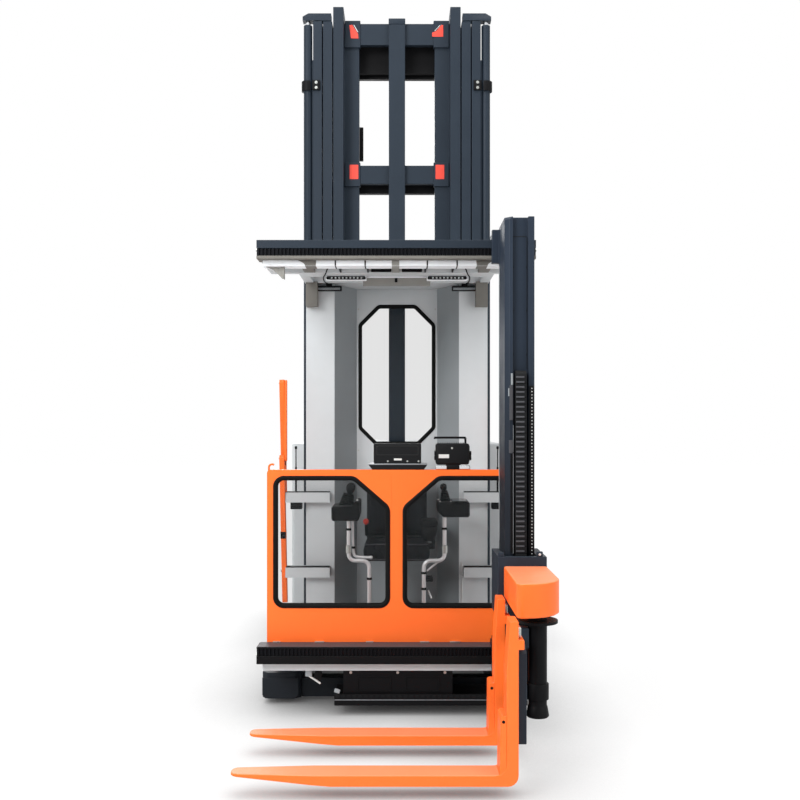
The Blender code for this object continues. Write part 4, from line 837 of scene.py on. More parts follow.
def tint(piece: Object, finish: Finish, chosen: Callable[[np.ndarray], np.ndarray]) -> None:
    """Give some faces of a piece another finish.

    Args:
        piece: the piece.
        finish: the other finish.
        chosen: takes rows of six, each face's middle and normal, and says which faces change.
    """
    mesh = piece.data
    faces = len(mesh.polygons)
    middles, normals = np.empty(faces * 3, np.float32), np.empty(faces * 3, np.float32)
    mesh.polygons.foreach_get("center", middles)
    mesh.polygons.foreach_get("normal", normals)
    numbers = np.empty(faces, np.int32)
    mesh.polygons.foreach_get("material_index", numbers)
    rows = np.concatenate([middles.reshape(-1, 3), normals.reshape(-1, 3)], 1)
    numbers[chosen(rows)] = len(mesh.materials)
    mesh.materials.append(finish.material())
    mesh.polygons.foreach_set("material_index", numbers)


def framed(outline: np.ndarray, y: float, section: np.ndarray, facing: float = -1.0) -> Shape:
    """A section carried round an upright outline.

    Args:
        outline: rows of x, z.
        y: where the outline stands.
        section: rows of two, as side and front.
        facing: -1 where its front looks to the forks' end, 1 where it looks back.

    Returns:
        The closed frame.
    """
    path = np.column_stack([outline[:, 0], np.full(len(outline), y), outline[:, 1]])
    return swept(path, section, (0.0, facing, 0.0), closed=True)


@dataclass
class FrontPanel:
    """Orange panel before the driver's place, with two glazed windows.

    Attributes:
        inner, outer, bottom, top: edges of each window.
        chamfer, drop: length and height of the cut at the upper inner corner.
        radius, chamfer_radius: corner radii.
        lip: how far the rubber stands over the panel's face.
    """

    inner: float = 0.037
    outer: float = 0.663
    bottom: float = 0.563
    top: float = 1.272
    chamfer: float = 0.19
    drop: float = 0.165
    radius: float = 0.055
    chamfer_radius: float = 0.06
    lip: float = 0.006

    def corners(self, side: int) -> tuple[list, list]:
        """Corners and radii of a window, counter-clockwise as seen from the forks' end.

        Args:
            side: -1 left, 1 right.

        Returns:
            The corners as (x, z) and one radius for each.
        """
        corners = [(self.inner, self.bottom), (self.outer, self.bottom), (self.outer, self.top),
                   (self.inner + self.chamfer, self.top), (self.inner, self.top - self.drop)]
        radii = [self.radius] * 3 + [self.chamfer_radius] * 2
        if side < 0:
            return [(-x, z) for x, z in reversed(corners)], radii[::-1]
        return corners, radii

    def seal(self, name: str, side: int, face: float) -> None:
        """Rubber gasket: a bulb section carried round the window's outline.

        Args:
            name: left or right.
            side: -1 or 1.
            face: y of the panel's front.
        """
        outline = rounded_outline(*self.corners(side), steps=8)
        section = np.array([[0.003, GAP], [0.0034, 0.0022], [0.001, 0.0036], [-0.006, self.lip],
                            [-0.013, 0.005], [-0.0195, 0.0016], [-0.0222, -0.004], [-0.0225, -0.017],
                            [-0.0014, -0.017], [-0.0014, GAP]])
        put(f"window_seal_{name}", framed(outline, face - 0.0014, section), RUBBER)

    def corner_plate(self, face: float) -> None:
        """Thin plates that carry the panel on to the windows' larger corner cut."""
        x, z = self.inner - 0.01, self.top + 0.01
        outline = [(x, self.top - self.drop - 0.02), (self.inner + 0.012, self.top - self.drop - 0.012),
                   (self.inner + self.chamfer + 0.012, self.top - 0.012),
                   (self.inner + self.chamfer + 0.02, z), (x, z)]
        pair("window_corner_plate", plates([outline], face - 0.0013, face - GAP, 0.0003), ORANGE)

    def handle(self, low: Vector, high: Vector) -> None:
        """Small curled grip on the top left corner: a tube along a quarter circle."""
        turn = np.linspace(0.0, 0.72 * math.pi, 12)
        bend = 0.017
        x, y, z = low.x + 0.008, low.y + 0.022, high.z + 0.012
        arc = np.column_stack([x + bend - bend * np.cos(turn), np.full(12, y), z + bend * np.sin(turn)])
        path = np.concatenate([[[x, y, high.z - 0.004]], arc])
        put("panel_grip", swept(path, ring(0.0055, 14), (0.0, 1.0, 0.0)), ORANGE)

    def build(self) -> None:
        """Panel, panes, gaskets, corner plates, rivets and the grip."""
        low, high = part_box("front_panel")
        dress("front_panel", ORANGE, 0.005, 3)
        for name, side in SIDES:
            dress(f"front_glass_{name}", PANE, 0.0006, 1)
            self.seal(name, side, low.y)
        self.corner_plate(low.y)
        self.handle(low, high)
        rivets = np.array([[x, low.y - GAP, low.z + 0.028] for x in np.linspace(-0.66, 0.4, 9)])
        put("panel_rivets", bolt_heads(rivets, 0.0042, 0.0022), ORANGE)


@dataclass
class Rails:
    """Toothed rails under and over the cab that carry the side mast.

    Attributes:
        tooth_edge: rounding of the teeth.
        back: y where the front panel begins.
        tabs: x and length of each fixing tab on the lower rail.
    """

    tooth_edge: float = 0.0007
    back: float = -0.8303
    tabs: tuple = ((-0.667, 0.04), (-0.44, 0.05), (-0.164, 0.04), (0.128, 0.05), (0.29, 0.055))

    def build(self) -> None:
        """Bars, racks, end bolts, the lower bar's worn top and its fixing tabs."""
        for row, finish in (("lower", BLACK), ("upper", SLATE)):
            rail = dress(f"{row}_rail", finish, 0.0025)
            if row == "upper":
                # The upper rail's lower band takes the darker primer: painted shade.
                tint(rail, SHADED_PRIMER, lambda middle: middle[:, 2] < 2.4474)
            dress(f"{row}_rack", RACK, self.tooth_edge, 1)
            low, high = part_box(f"{row}_rail")
            y, z = (low.y + high.y) / 2, (low.z + high.z) / 2
            places = np.array([[high.x, y - 0.03, z], [high.x, y + 0.03, z]])
            pair(f"{row}_rail_bolts", bolt_heads(places, 0.009, 0.006, "X", 1), ZINC)
        low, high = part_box("lower_rail")
        strip = block((low.x + 0.006, low.y + 0.003, high.z + GAP),
                      (high.x - 0.006, self.back, high.z + 0.0014), 0.0005, 1)
        put("rail_wear_strip", strip, NYLON)
        tabs = [block((x, -0.842, high.z + 0.0016), (x + length, self.back, high.z + 0.0062), 0.001)
                for x, length in self.tabs]
        put("rail_tabs", tabs, ZINC)


@dataclass
class CabWall:
    """Bent rear wall of the cab with its eight-sided window and the gates' brackets.

    Attributes:
        half, bottom, top: the window's half width and its ends.
        top_chamfer, bottom_chamfer: lengths of the cut corners.
        radius: of each corner.
        slant: the recess's side sheet in plan, from the column's edge to the rear sheet.
    """

    half: float = 0.2375
    bottom: float = 1.43
    top: float = 2.317
    top_chamfer: float = 0.12
    bottom_chamfer: float = 0.1
    radius: float = 0.03
    slant: tuple = ((0.3885, 0.0135), (0.2615, 0.2525))

    def outline(self) -> np.ndarray:
        """The window's outline as (x, z), counter-clockwise."""
        half, low, high = self.half, self.bottom, self.top
        right = [(half - self.bottom_chamfer, low), (half, low + self.bottom_chamfer),
                 (half, high - self.top_chamfer), (half - self.top_chamfer, high)]
        corners = right + [(-x, z) for x, z in reversed(right)]
        return rounded_outline(corners, [self.radius] * 8, 6)

    def seal(self) -> None:
        """Black gaskets on both faces of the rear window."""
        low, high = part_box("rear_glass")
        section = np.array([[0.012, GAP], [0.0124, 0.003], [0.01, 0.0052], [0.0, 0.007], [-0.007, 0.006],
                            [-0.011, 0.0], [-0.0112, -0.0066], [-0.0004, -0.0066], [-0.0004, GAP]])
        for name, y, way in (("inside", low.y - 0.007, 1.0), ("outside", high.y + 0.007, -1.0)):
            put(f"rear_window_seal_{name}", framed(self.outline(), y, section * np.array([1.0, way])),
                RUBBER)

    def recess_shade(self) -> None:
        """Painted shade in the recess: darker grey thin sheets on its slanted sides, each a plan line given
        a thickness towards the cab, and on its back; and a painted highlight along a wall edge.
        """
        ends = np.array(self.slant)
        along = ends[1] - ends[0]
        inward = np.array([-along[1], along[0]]) / np.linalg.norm(along)
        outline = np.concatenate([ends + inward * 0.0003, (ends + inward * 0.0012)[::-1]])
        # Darker grey sheets on the recess's slanted sides: painted shade.
        pair("recess_shade_sheet", prism(outline, 0.3608, 2.4298), MID_GREY)
        # A white strip along the wall's bend beside the column: a painted highlight.
        put("wall_edge_highlight", block((0.404, 0.003, 0.43), (0.411, 0.0096, 0.69), 0.0015), LABEL)
        # The recess's back, darker grey up to the console: painted shade.
        put("recess_back_shade_sheet", block((-0.259, 0.2537, 0.3608), (0.259, 0.2546, 1.257), 0.0003, 1), MID_GREY)

    def build(self) -> None:
        """Wall, pane, gaskets, the recess's painted shade, seam screws, bracket pads and the gate switches.
        """
        dress("cab_back_wall", GREY, 0.0018)
        dress("rear_glass", PANE, 0.0006, 1)
        self.seal()
        self.recess_shade()
        screws = np.array([[0.2495, 0.2547, z] for z in np.linspace(0.62, 2.3, 12)])
        pair("wall_screws", bolt_heads(screws, 0.004, 0.0025), ZINC)
        for row, z in (("upper", 1.131), ("lower", 0.666)):
            pair(f"bracket_pad_{row}", block((0.417, -0.049, z + 0.0003), (0.687, 0.009, z + 0.0045),
                                             0.0015), RUBBER)
        pair("gate_switch", block((0.59, -0.04, 1.026), (0.66, 0.03, 1.0687), 0.004), PLASTIC)
        rod = lathed([[0.006, 0.0], [0.006, 0.15], [0.0035, 0.152], [0.0035, 0.262], [0.0065, 0.264],
                      [0.0085, 0.272], [0.0065, 0.28], [0.002, 0.282]], (0.628, -0.01, 1.1358), "Z", 20)
        pair("gate_stay", rod, PLASTIC)


@dataclass
class Roof:
    """Roof with its arms, lamps, vents and wiring on the underside.

    Attributes:
        under: height of the underside.
        deep: ceiling of the front bay.
        front, back: y of the bay's ends.
        lip_z: lower and upper edge of the roof's front lip.
    """

    under: float = 2.4303
    deep: float = 2.4751
    front: float = -0.774
    back: float = -0.456
    lip_z: tuple = (2.401, 2.429)

    def bay(self) -> None:
        """Front bay: a white sheet under the roof, thin fins, two arms and the middle post."""
        put("roof_lining", block((-0.672, self.front, self.deep - 0.0014),
                                 (0.672, self.back, self.deep - GAP), 0.0005, 1), WHITE)
        top = self.deep - 0.0016

        def rib(low_x: float, high_x: float) -> Shape:
            """A fore-and-aft bar of the bay."""
            return block((low_x, self.front, self.under + GAP), (high_x, self.back, top), 0.0012)

        # The bay's arms take the darker primer: painted shade.
        pair("roof_arm", rib(0.47, 0.532), SHADED_PRIMER)
        pair("roof_fins", [rib(0.161, 0.169), rib(0.318, 0.326)], BLACK)
        put("roof_post", rib(-0.024, 0.016), PRIMER)
        under = self.under - GAP
        put("roof_crossmember", block((-0.2, -0.305, 2.375), (0.2, -0.29, under)), PRIMER)
        put("crossmember_lip", block((-0.176, -0.309, 2.4225), (0.176, -0.3054, under), 0.001), WHITE)
        put("crossmember_latch", block((-0.011, -0.3088, 2.396), (0.005, -0.3054, 2.4215), 0.001), BLACK)

    def brackets(self) -> None:
        """Corner plates that hold the upper rail's ends, with a convex lower edge."""
        turn = np.linspace(0.0, 1.0, 10)
        x = 0.7 - 0.086 * turn ** 0.75
        z = 2.399 - 0.062 * turn ** 1.25
        outline = np.concatenate([[[0.606, 2.399]], [[0.602, 2.337]], np.column_stack([x, z])[::-1]])
        plate = prism(outline, -0.862, -0.854, "Y", 0.0008)
        flange = block((0.602, -0.862, 2.337), (0.606, -0.8303, 2.399), 0.0008)
        pair("rail_gusset", [plate, flange], PRIMER)

    def lip(self) -> None:
        """What shows on the roof's front lip: pale plates, thin fins, the post and two arm plates."""
        far = -0.9003
        low, high = self.lip_z
        white = [bar(x, self.lip_z) for x in ((0.028, 0.16), (0.172, 0.32), (0.33, 0.426), (0.5265, 0.6))]
        dark = [bar(x, self.lip_z) for x in ((0.1625, 0.1695), (0.322, 0.3285))]
        turn = np.linspace(0.0, 1.0, 8)
        curve = np.column_stack([0.4873 + 0.0374 * turn ** 2, low + (high - low) * turn])
        arm = [(0.43, low), *curve.tolist(), (0.4275, high)]
        pair("lip_plates", plates(white, far - 0.0012, far, 0.0003), WHITE)

        def below(low_x: float, high_x: float) -> Shape:
            """The same bar carried on along the lip's underside."""
            return block((low_x, -0.9, 2.3985), (high_x, -0.803, 2.3998), 0.0003, 1)

        fins = [plates(dark, far - 0.0016, far, 0.0003), below(0.1625, 0.1695), below(0.322, 0.3285)]
        pair("lip_fins", fins, BLACK)
        # The lip's arm plates take the darker primer: painted shade.
        pair("lip_arm", [plates([arm], far - 0.0016, far, 0.0003), below(0.43, 0.4873)], SHADED_PRIMER)
        post = plates([bar((-0.024, 0.016), self.lip_z)], far - 0.0016, far, 0.0003)
        put("lip_post", [post, below(-0.024, 0.016)], PRIMER)

    def lamp_bar(self, name: str) -> None:
        """LED bar: a grey housing, a dark face with round ends and a row of round lenses.

        Args:
            name: left or right.
        """
        low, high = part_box(f"light_bar_{name}")
        dress(f"light_bar_{name}", WHITE, 0.003, 3)
        outline = rectangle((low.x + 0.004, low.z + 0.0045), (high.x - 0.004, high.z - 0.003), 0.0095)
        put(f"light_face_{name}", prism(outline, low.y - 0.0022, low.y - GAP, "Y", 0.0006), GLOSS_PLASTIC)
        z = (low.z + high.z) / 2 + 0.0008
        lens = lathed([[0.005, 0.0], [0.005, 0.0012], [0.0036, 0.0024], [0.0014, 0.003]], axis="Y",
                      count=16).turned("X", 180.0)
        places = np.linspace(low.x + 0.036, high.x - 0.03, 9)
        put(f"light_lenses_{name}", spaced(lens.moved((0.0, low.y - 0.002, z)), "X", places), LENS)

    def wall_lamps(self) -> None:
        """Slim dark lamps on the columns' heads, each with a ribbed grey cover and its plug."""
        case = Shape.joined([block((0.3425, -0.03, 2.3835), (0.4965, 0.0094, 2.4135), 0.004),
                             block((0.404, -0.022, 2.4137), (0.44, 0.004, 2.4295), 0.003)])
        pair("wall_lamp", case, PLASTIC)
        rib = block((0.0, -0.0335, 2.3875), (0.0048, -0.0298, 2.402), 0.0012, 2)
        pair("wall_lamp_cover", spaced(rib, "X", np.linspace(0.352, 0.482, 20)), MID_GREY)
        pair("wall_lamp_stud", block((0.392, -0.016, 2.4137), (0.398, -0.006, 2.4295), 0.001), ZINC)

    def vents(self) -> None:
        """Black vent boxes with slats behind the bay, and a plug with its wires."""
        box = block((0.03, -0.48, 2.433), (0.147, -0.4595, 2.4575), 0.003)
        slat = block((0.036, -0.4825, 0.0), (0.141, -0.4795, 0.0022), 0.0008)
        pair("roof_vent", [box, spaced(slat, "Z", np.linspace(2.437, 2.451, 4))], BLACK)
        plug = prism([[-0.08, 2.4578], [-0.048, 2.4578], [-0.052, 2.468], [-0.06, 2.4735],
                      [-0.068, 2.468]], -0.48, -0.464, "Y", 0.001)
        put("vent_plug", plug, BLACK)
        wires = [tube([(-0.144, -0.478, 2.459), (-0.1, -0.5, 2.468), (-0.05, -0.56, 2.47),
                       (-0.03, -0.7, 2.47)], 0.0016, (0.3, 0.2, 0.9)),
                 tube([(-0.06, -0.472, 2.47), (-0.04, -0.52, 2.466), (-0.032, -0.64, 2.469),
                       (-0.031, -0.77, 2.469)], 0.0016, (0.3, 0.2, 0.9))]
        put("vent_wires", wires, RUBBER)

    def build(self) -> None:
        """Roof shell, bay, lamps, vents and wiring."""
        shell = dress("roof", GREY)
        tint(shell, WHITE, lambda middle: (middle[:, 2] < 2.431) & (middle[:, 1] < -0.44))
        # The roof's underside at the back takes the darker primer: painted shade.
        tint(shell, SHADED_PRIMER, lambda middle: (middle[:, 2] < 2.42) & (middle[:, 1] > -0.1))
        self.bay()
        self.brackets()
        self.lip()
        for name, _ in SIDES:
            self.lamp_bar(name)
        self.wall_lamps()
        self.vents()
        cable = tube([(0.384, -0.47, 2.47), (0.4, -0.462, 2.45), (0.412, -0.44, 2.4255),
                      (0.432, -0.33, 2.4215), (0.438, -0.18, 2.419), (0.43, -0.08, 2.4215),
                      (0.421, -0.026, 2.419)], 0.0034, (0.31, 0.17, 0.93))
        pair("lamp_cable", cable, RUBBER)


@dataclass
class Floor:
    """Cab floor, its ribbed mat, and the box and tray below it.

    Attributes:
        mat_z: the floor's height.
        ribs: number of the mat's ribs.
        face: y of the box's front.
        lip: y of the tray's front.
    """

    mat_z: float = 0.3603
    ribs: int = 34
    face: float = -0.9
    lip: float = -0.92

    def mat(self) -> None:
        """Rubber mat: a sheet with low ribs fore and aft."""
        base = block((-0.4, -0.765, self.mat_z + GAP), (0.4, -0.235, self.mat_z + 0.003), 0.001)
        rib = prism([[-0.0036, 0.0], [0.0036, 0.0], [0.0022, 0.0024], [-0.0022, 0.0024]], -0.755, -0.245,
                    "Y").moved((0.0, 0.0, self.mat_z + 0.0028))
        put("floor_mat", [base, spaced(rib, "X", np.linspace(-0.388, 0.388, self.ribs))], RUBBER)

    def stay(self) -> None:
        """Bright slanted stay under the floor with its brackets, and the pale stop by the tray."""
        put("floor_stay", tube([(-0.475, -0.86, 0.2048), (-0.442, -0.86, 0.183), (-0.408, -0.86, 0.16)],
                               0.0052), LABEL)
        put("stay_bracket", block((-0.488, -0.872, 0.2), (-0.453, -0.85, 0.2378)), MID_GREY)
        put("stay_block", block((-0.437, -0.874, 0.188), (-0.4, -0.85, 0.2378)), BLACK)
        stop = block((-0.33, -0.916, 0.1185), (-0.3, -0.904, 0.14), 0.003)
        put("tray_stop", stop.turned("Y", 18.0, (-0.315, -0.91, 0.129)).moved((0.0, 0.0, 0.004)), MID_GREY)

    def build(self) -> None:
        """Floor, mat, the box's frames and bolts, the tray's links and edges."""
        dress("cab_floor", GREY, 0.0025)
        self.stay()
        self.mat()
        dress("chain_tray", BLACK, 0.0025)
        section = rectangle((-0.003, GAP), (0.003, 0.0045), 0.0015)
        frames = [framed(rectangle((left, 0.13), (right, 0.207), 0.006), self.face, section)
                  for left, right in ((-0.205, -0.028), (0.052, 0.23))]
        put("box_frames", frames, BLACK)
        bolts = np.array([[x, self.face - GAP, 0.229] for x in (-0.243, 0.0077, 0.26)])
        put("box_bolts", bolt_heads(bolts, 0.0055, 0.004), ZINC)
        low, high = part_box("chain_tray")
        link = block((-0.01, self.lip - 0.0018, 0.101), (0.01, self.lip - GAP, 0.113), 0.0006, 1)
        put("tray_links", spaced(link, "X", np.arange(low.x + 0.016, high.x - 0.012, 0.0303)), PLASTIC)
        for stem, z, finish in (("tray_edge", 0.0855, STEEL), ("tray_foot", 0.0585, BLACK)):
            put(stem, block((low.x + 0.002, self.lip - 0.0022, z),
                            (high.x - 0.002, self.lip - GAP, z + 0.0045), 0.0008), finish)


@dataclass
class Studio:
    """Pale floor and backdrop, soft lights and the camera.

    Attributes:
        eye: the camera's place.
        lens: its focal length in millimetres.
        shift_y: its vertical shift, as a share of the frame.
        shadow_reach: how far from the truck the floor darkens under it.
        near, far: distances between which the floor's own light takes over.
        near_share: share of its own light that the floor shows near the truck.
        floor_glow, sky, white: strengths of the floor, of the sky and of what the camera sees of it.
        sensor: width of the camera's sensor in millimetres.
        floor_size: half the floor's width.
        lamps: name, place, aim, side length in metres and watts of each area light.
    """

    eye: tuple = (0.02, -6.24, 1.56)
    lens: float = 45.0
    shift_y: float = 0.029
    shadow_reach: float = 0.62
    near: float = 2.6
    far: float = 6.0
    near_share: float = 0.86
    floor_glow: float = 1.02
    sky: float = 0.42
    white: float = 1.0
    sensor: float = 36.0
    floor_size: float = 30.0
    lamps: tuple = (("key_light", (-3.8, -5.8, 4.6), (0.0, -0.4, 1.5), 3.0, 400.0),
                    ("fill_light", (4.6, -4.2, 3.0), (0.0, -0.4, 1.3), 3.5, 110.0),
                    ("top_light", (0.0, -1.2, 7.5), (0.0, -0.6, 1.0), 5.0, 330.0),
                    ("back_light", (-2.0, 6.5, 4.0), (0.0, 0.5, 1.5), 4.0, 230.0))

    def backdrop(self) -> None:
        """Floor: white to the camera, in gloss and through glass, dark where the truck hides the sky."""
        size = self.floor_size
        corners = [(-size, -size, 0.0), (size, -size, 0.0), (size, size, 0.0), (-size, size, 0.0)]
        mesh = bpy.data.meshes.new("studio_floor")
        mesh.from_pydata(corners, [], [(0, 1, 2, 3)])
        floor = linked("studio_floor", mesh)
        made = bpy.data.materials.new("pale_floor")
        made.use_nodes = True
        tree = made.node_tree
        tree.nodes.clear()
        place = add_node(tree, "TexCoord").outputs["Object"]
        away = add_node(tree, "VectorMath", {"operation": "LENGTH"}, {0: place})
        share = add_node(tree, "MapRange", None, {0: away.outputs["Value"], 1: self.near, 2: self.far,
                                                  3: self.near_share, 4: 1.0})
        seen = add_node(tree, "Math", {"operation": "MULTIPLY"},
                        {0: seen_directly(tree), 1: share.outputs[0]})
        hidden = add_node(tree, "AmbientOcclusion", {"samples": 12},
                          {"Color": (1.0, 1.0, 1.0, 1.0), "Distance": self.shadow_reach})
        matt = add_node(tree, "BsdfDiffuse", None, {"Color": linear("F2F2F2")})
        white = add_node(tree, "Emission", None, {"Color": hidden.outputs["Color"],
                                                  "Strength": self.floor_glow})
        mixed = add_node(tree, "MixShader", None, {0: seen.outputs[0], 1: matt.outputs[0],
                                                   2: white.outputs[0]})
        add_node(tree, "OutputMaterial", None, {"Surface": mixed.outputs[0]})
        mesh.materials.append(made)

    def world(self) -> None:
        """Even grey-white sky that shows as white to the camera, in gloss and through glass."""
        world = bpy.data.worlds.new("studio_world")
        bpy.context.scene.world = world
        world.use_nodes = True
        tree = world.node_tree
        tree.nodes.clear()
        soft = add_node(tree, "Background", None, {"Color": linear("FFFFFF"), "Strength": self.sky})
        white = add_node(tree, "Background", None, {"Color": linear("FFFFFF"), "Strength": self.white})
        mixed = add_node(tree, "MixShader", None, {0: seen_directly(tree), 1: soft.outputs[0],
                                                   2: white.outputs[0]})
        add_node(tree, "OutputWorld", None, {"Surface": mixed.outputs[0]})

    def light(self, name: str, place: tuple, aim: tuple, size: float, power: float) -> None:
        """A square area light.

        Args:
            name: its name.
            place: its middle.
            aim: the point it faces.
            size: side length.
            power: watts.
        """
        lamp = bpy.data.lights.new(name, "AREA")
        lamp.size = size
        lamp.energy = power
        made = linked(name, lamp)
        made.location = place
        made.rotation_euler = (Vector(aim) - Vector(place)).to_track_quat("-Z", "Y").to_euler()

    def camera(self) -> None:
        """The camera at the photograph's place: level, looking along +Y."""
        data = bpy.data.cameras.new("camera")
        data.lens = self.lens
        data.sensor_width = self.sensor
        data.shift_y = self.shift_y
        made = linked("camera", data)
        made.location = self.eye
        made.rotation_euler = (math.pi / 2, 0.0, 0.0)
        bpy.context.scene.camera = made

    def build(self) -> None:
        """Floor, sky, lights and camera."""
        self.backdrop()
        self.world()
        for lamp in self.lamps:
            self.light(*lamp)
        bpy.context.scene.view_settings.view_transform = "Standard"
        self.camera()


@dataclass
class Seat:
    """Driver's seat: column, cushion and back, with an armrest and a red stop button.

    Attributes:
        voxel: size of the cloth's remesh.
        shrink: how much smaller the pad starts.
        swell: how far a point may move in the simulation.
        pressure: air pressure in the cloth.
        steps: frames that the cloth runs.
        channel_share: place of each sewn channel, as a share of the width from the middle.
        channel: width and depth of a sewn channel.
        skin: room kept between the pad and its box.
    """

    voxel: float = 0.0055
    shrink: float = 0.009
    swell: float = 0.013
    pressure: float = 4.0
    steps: int = 20
    channel_share: float = 0.3
    channel: float = 0.006
    skin: float = 0.0005

    def pad(self, node: str, name: str) -> Object:
        """A sewn cushion swollen by air in a cloth skin, inside the node's own box.

        Args:
            node: the cushion it stands for.
            name: the piece's name.

        Returns:
            The piece.
        """
        low, high = (np.array(p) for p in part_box(node))
        start = low + self.shrink, high - self.shrink
        shape = block(tuple(start[0]), tuple(start[1]), 0.022, 4)
        piece = put(name, shape, FABRIC, replaces=(node,))
        self.swollen(piece)
        self.channels(piece, low, high)
        return piece

    def swollen(self, piece: Object) -> None:
        """Remesh the pad, run the cloth, cap each point's travel and keep the result.

        Args:
            piece: the pad; its mesh is replaced.
        """
        remesh = piece.modifiers.new("even_mesh", "REMESH")
        remesh.mode = "VOXEL"
        remesh.voxel_size = self.voxel
        bake_modifiers(piece)
        start = points_of(piece.data)
        cloth = piece.modifiers.new("cloth", "CLOTH")
        cloth.settings.use_pressure = True
        cloth.settings.uniform_pressure_force = self.pressure
        cloth.settings.effector_weights.gravity = 0.0
        scene = bpy.context.scene
        for frame_number in range(1, self.steps + 1):
            scene.frame_set(frame_number)
        bake_modifiers(piece)
        scene.frame_set(1)
        moved = points_of(piece.data) - start
        length = np.linalg.norm(moved, axis=1, keepdims=True)
        moved *= np.minimum(1.0, self.swell / np.maximum(length, 1e-9))
        piece.data.vertices.foreach_set("co", (start + moved).astype(np.float32).reshape(-1))
        piece.data.update()
        piece.data.shade_smooth()

    def channels(self, piece: Object, low: np.ndarray, high: np.ndarray) -> None:
        """Two sewn channels: the surface sinks by a bell curve across each seam line.

        Args:
            piece: the pad.
            low: lowest corner of the room it fills.
            high: highest corner.
        """
        co = points_of(piece.data)
        apart = (high[0] - low[0]) * self.channel_share
        middle = (high[0] + low[0]) / 2
        dip = sum(np.exp(-((co[:, 0] - middle - way * apart) / self.channel) ** 2) for way in (-1, 1))
        flat = 1 if high[1] - low[1] < high[2] - low[2] else 2
        centre = (low[flat] + high[flat]) / 2
        co[:, flat] -= np.sign(co[:, flat] - centre) * dip * self.channel
        co = np.clip(co, low + self.skin, high - self.skin)
        piece.data.vertices.foreach_set("co", co.astype(np.float32).reshape(-1))
        piece.data.update()

    def armrests(self) -> None:
        """A broad arm on the right that curls down in front, on a post from the back."""
        x, half = 0.2, 0.05
        path = [(x, 0.084, 0.942), (x, 0.02, 0.95), (x, -0.07, 0.951), (x, -0.118, 0.944),
                (x, -0.142, 0.918), (x, -0.146, 0.882), (x - 0.01, -0.138, 0.846)]
        curve = smooth_path(path, 6)
        section = rectangle((-half, -0.019), (half, 0.019), 0.0185, 6)
        size = np.interp(np.linspace(0.0, 6.0, len(curve)), (0, 3, 4, 5, 6), (1.0, 1.0, 0.96, 0.86, 0.6))
        arm = swept(curve, section, (0.0, 0.5, 1.0), scale=size)
        post = swept(np.array([(0.232, 0.088, 0.79), (0.232, 0.088, 0.86), (0.232, 0.09, 0.93)]),
                     rectangle((-0.01, -0.018), (0.01, 0.018), 0.005, 3), (0.0, 1.0, 0.0))
        plate = block((0.152, 0.068, 0.765), (0.24, 0.104, 0.8), 0.008)
        put("armrest", [arm, post, plate], PLASTIC)

    def column(self) -> None:
        """Narrow pedestal between foot and pan, the stem behind the cushion and the back's shell."""
        parts = [block((-0.15, -0.2, 0.3603), (0.15, 0.08, 0.372), 0.003),
                 block((-0.055, -0.14, 0.37), (0.055, 0.06, 0.73), 0.01),
                 block((-0.15, -0.2, 0.727), (0.15, 0.08, 0.7397), 0.003),
                 block((-0.15, 0.0205, 0.73), (0.15, 0.08, 0.85), 0.006)]
        put("seat_column", parts, PLASTIC, replaces=("seat_base",))
        put("seat_shell", block((-0.19, 0.1155, 0.8), (0.19, 0.125, 1.22), 0.004), PLASTIC)

    def build(self) -> None:
        """Column, pads, armrest and the stop button on its lever."""
        self.column()
        self.pad("seat_cushion", "seat_cushion_pad")
        self.pad("seat_backrest", "seat_back_pad")
        self.armrests()
        # Grey piping along the cushion's front edges, lighter than the cloth; the upper one also paints the
        # highlight along the top front edge.
        piping = [tube([(-0.192, -0.337, z), (0.0, -0.3385, z + rise), (0.192, -0.337, z)], 0.0026)
                  for z, rise in ((0.844, 0.001), (0.756, -0.0005))]
        put("cushion_piping_and_highlight", piping, NYLON)
        put("stop_lever", tube([(-0.188, -0.06, 0.87), (-0.188, -0.1, 0.9), (-0.188, -0.126, 0.944)],
                               0.0085), PLASTIC)
        knob = lathed([[0.008, 0.0], [0.01, 0.004], [0.016, 0.008], [0.0172, 0.017], [0.016, 0.026],
                       [0.011, 0.032], [0.004, 0.034]], count=28)
        put("stop_button", knob.turned("X", 24.0).moved((-0.188, -0.127, 0.944)), RED)


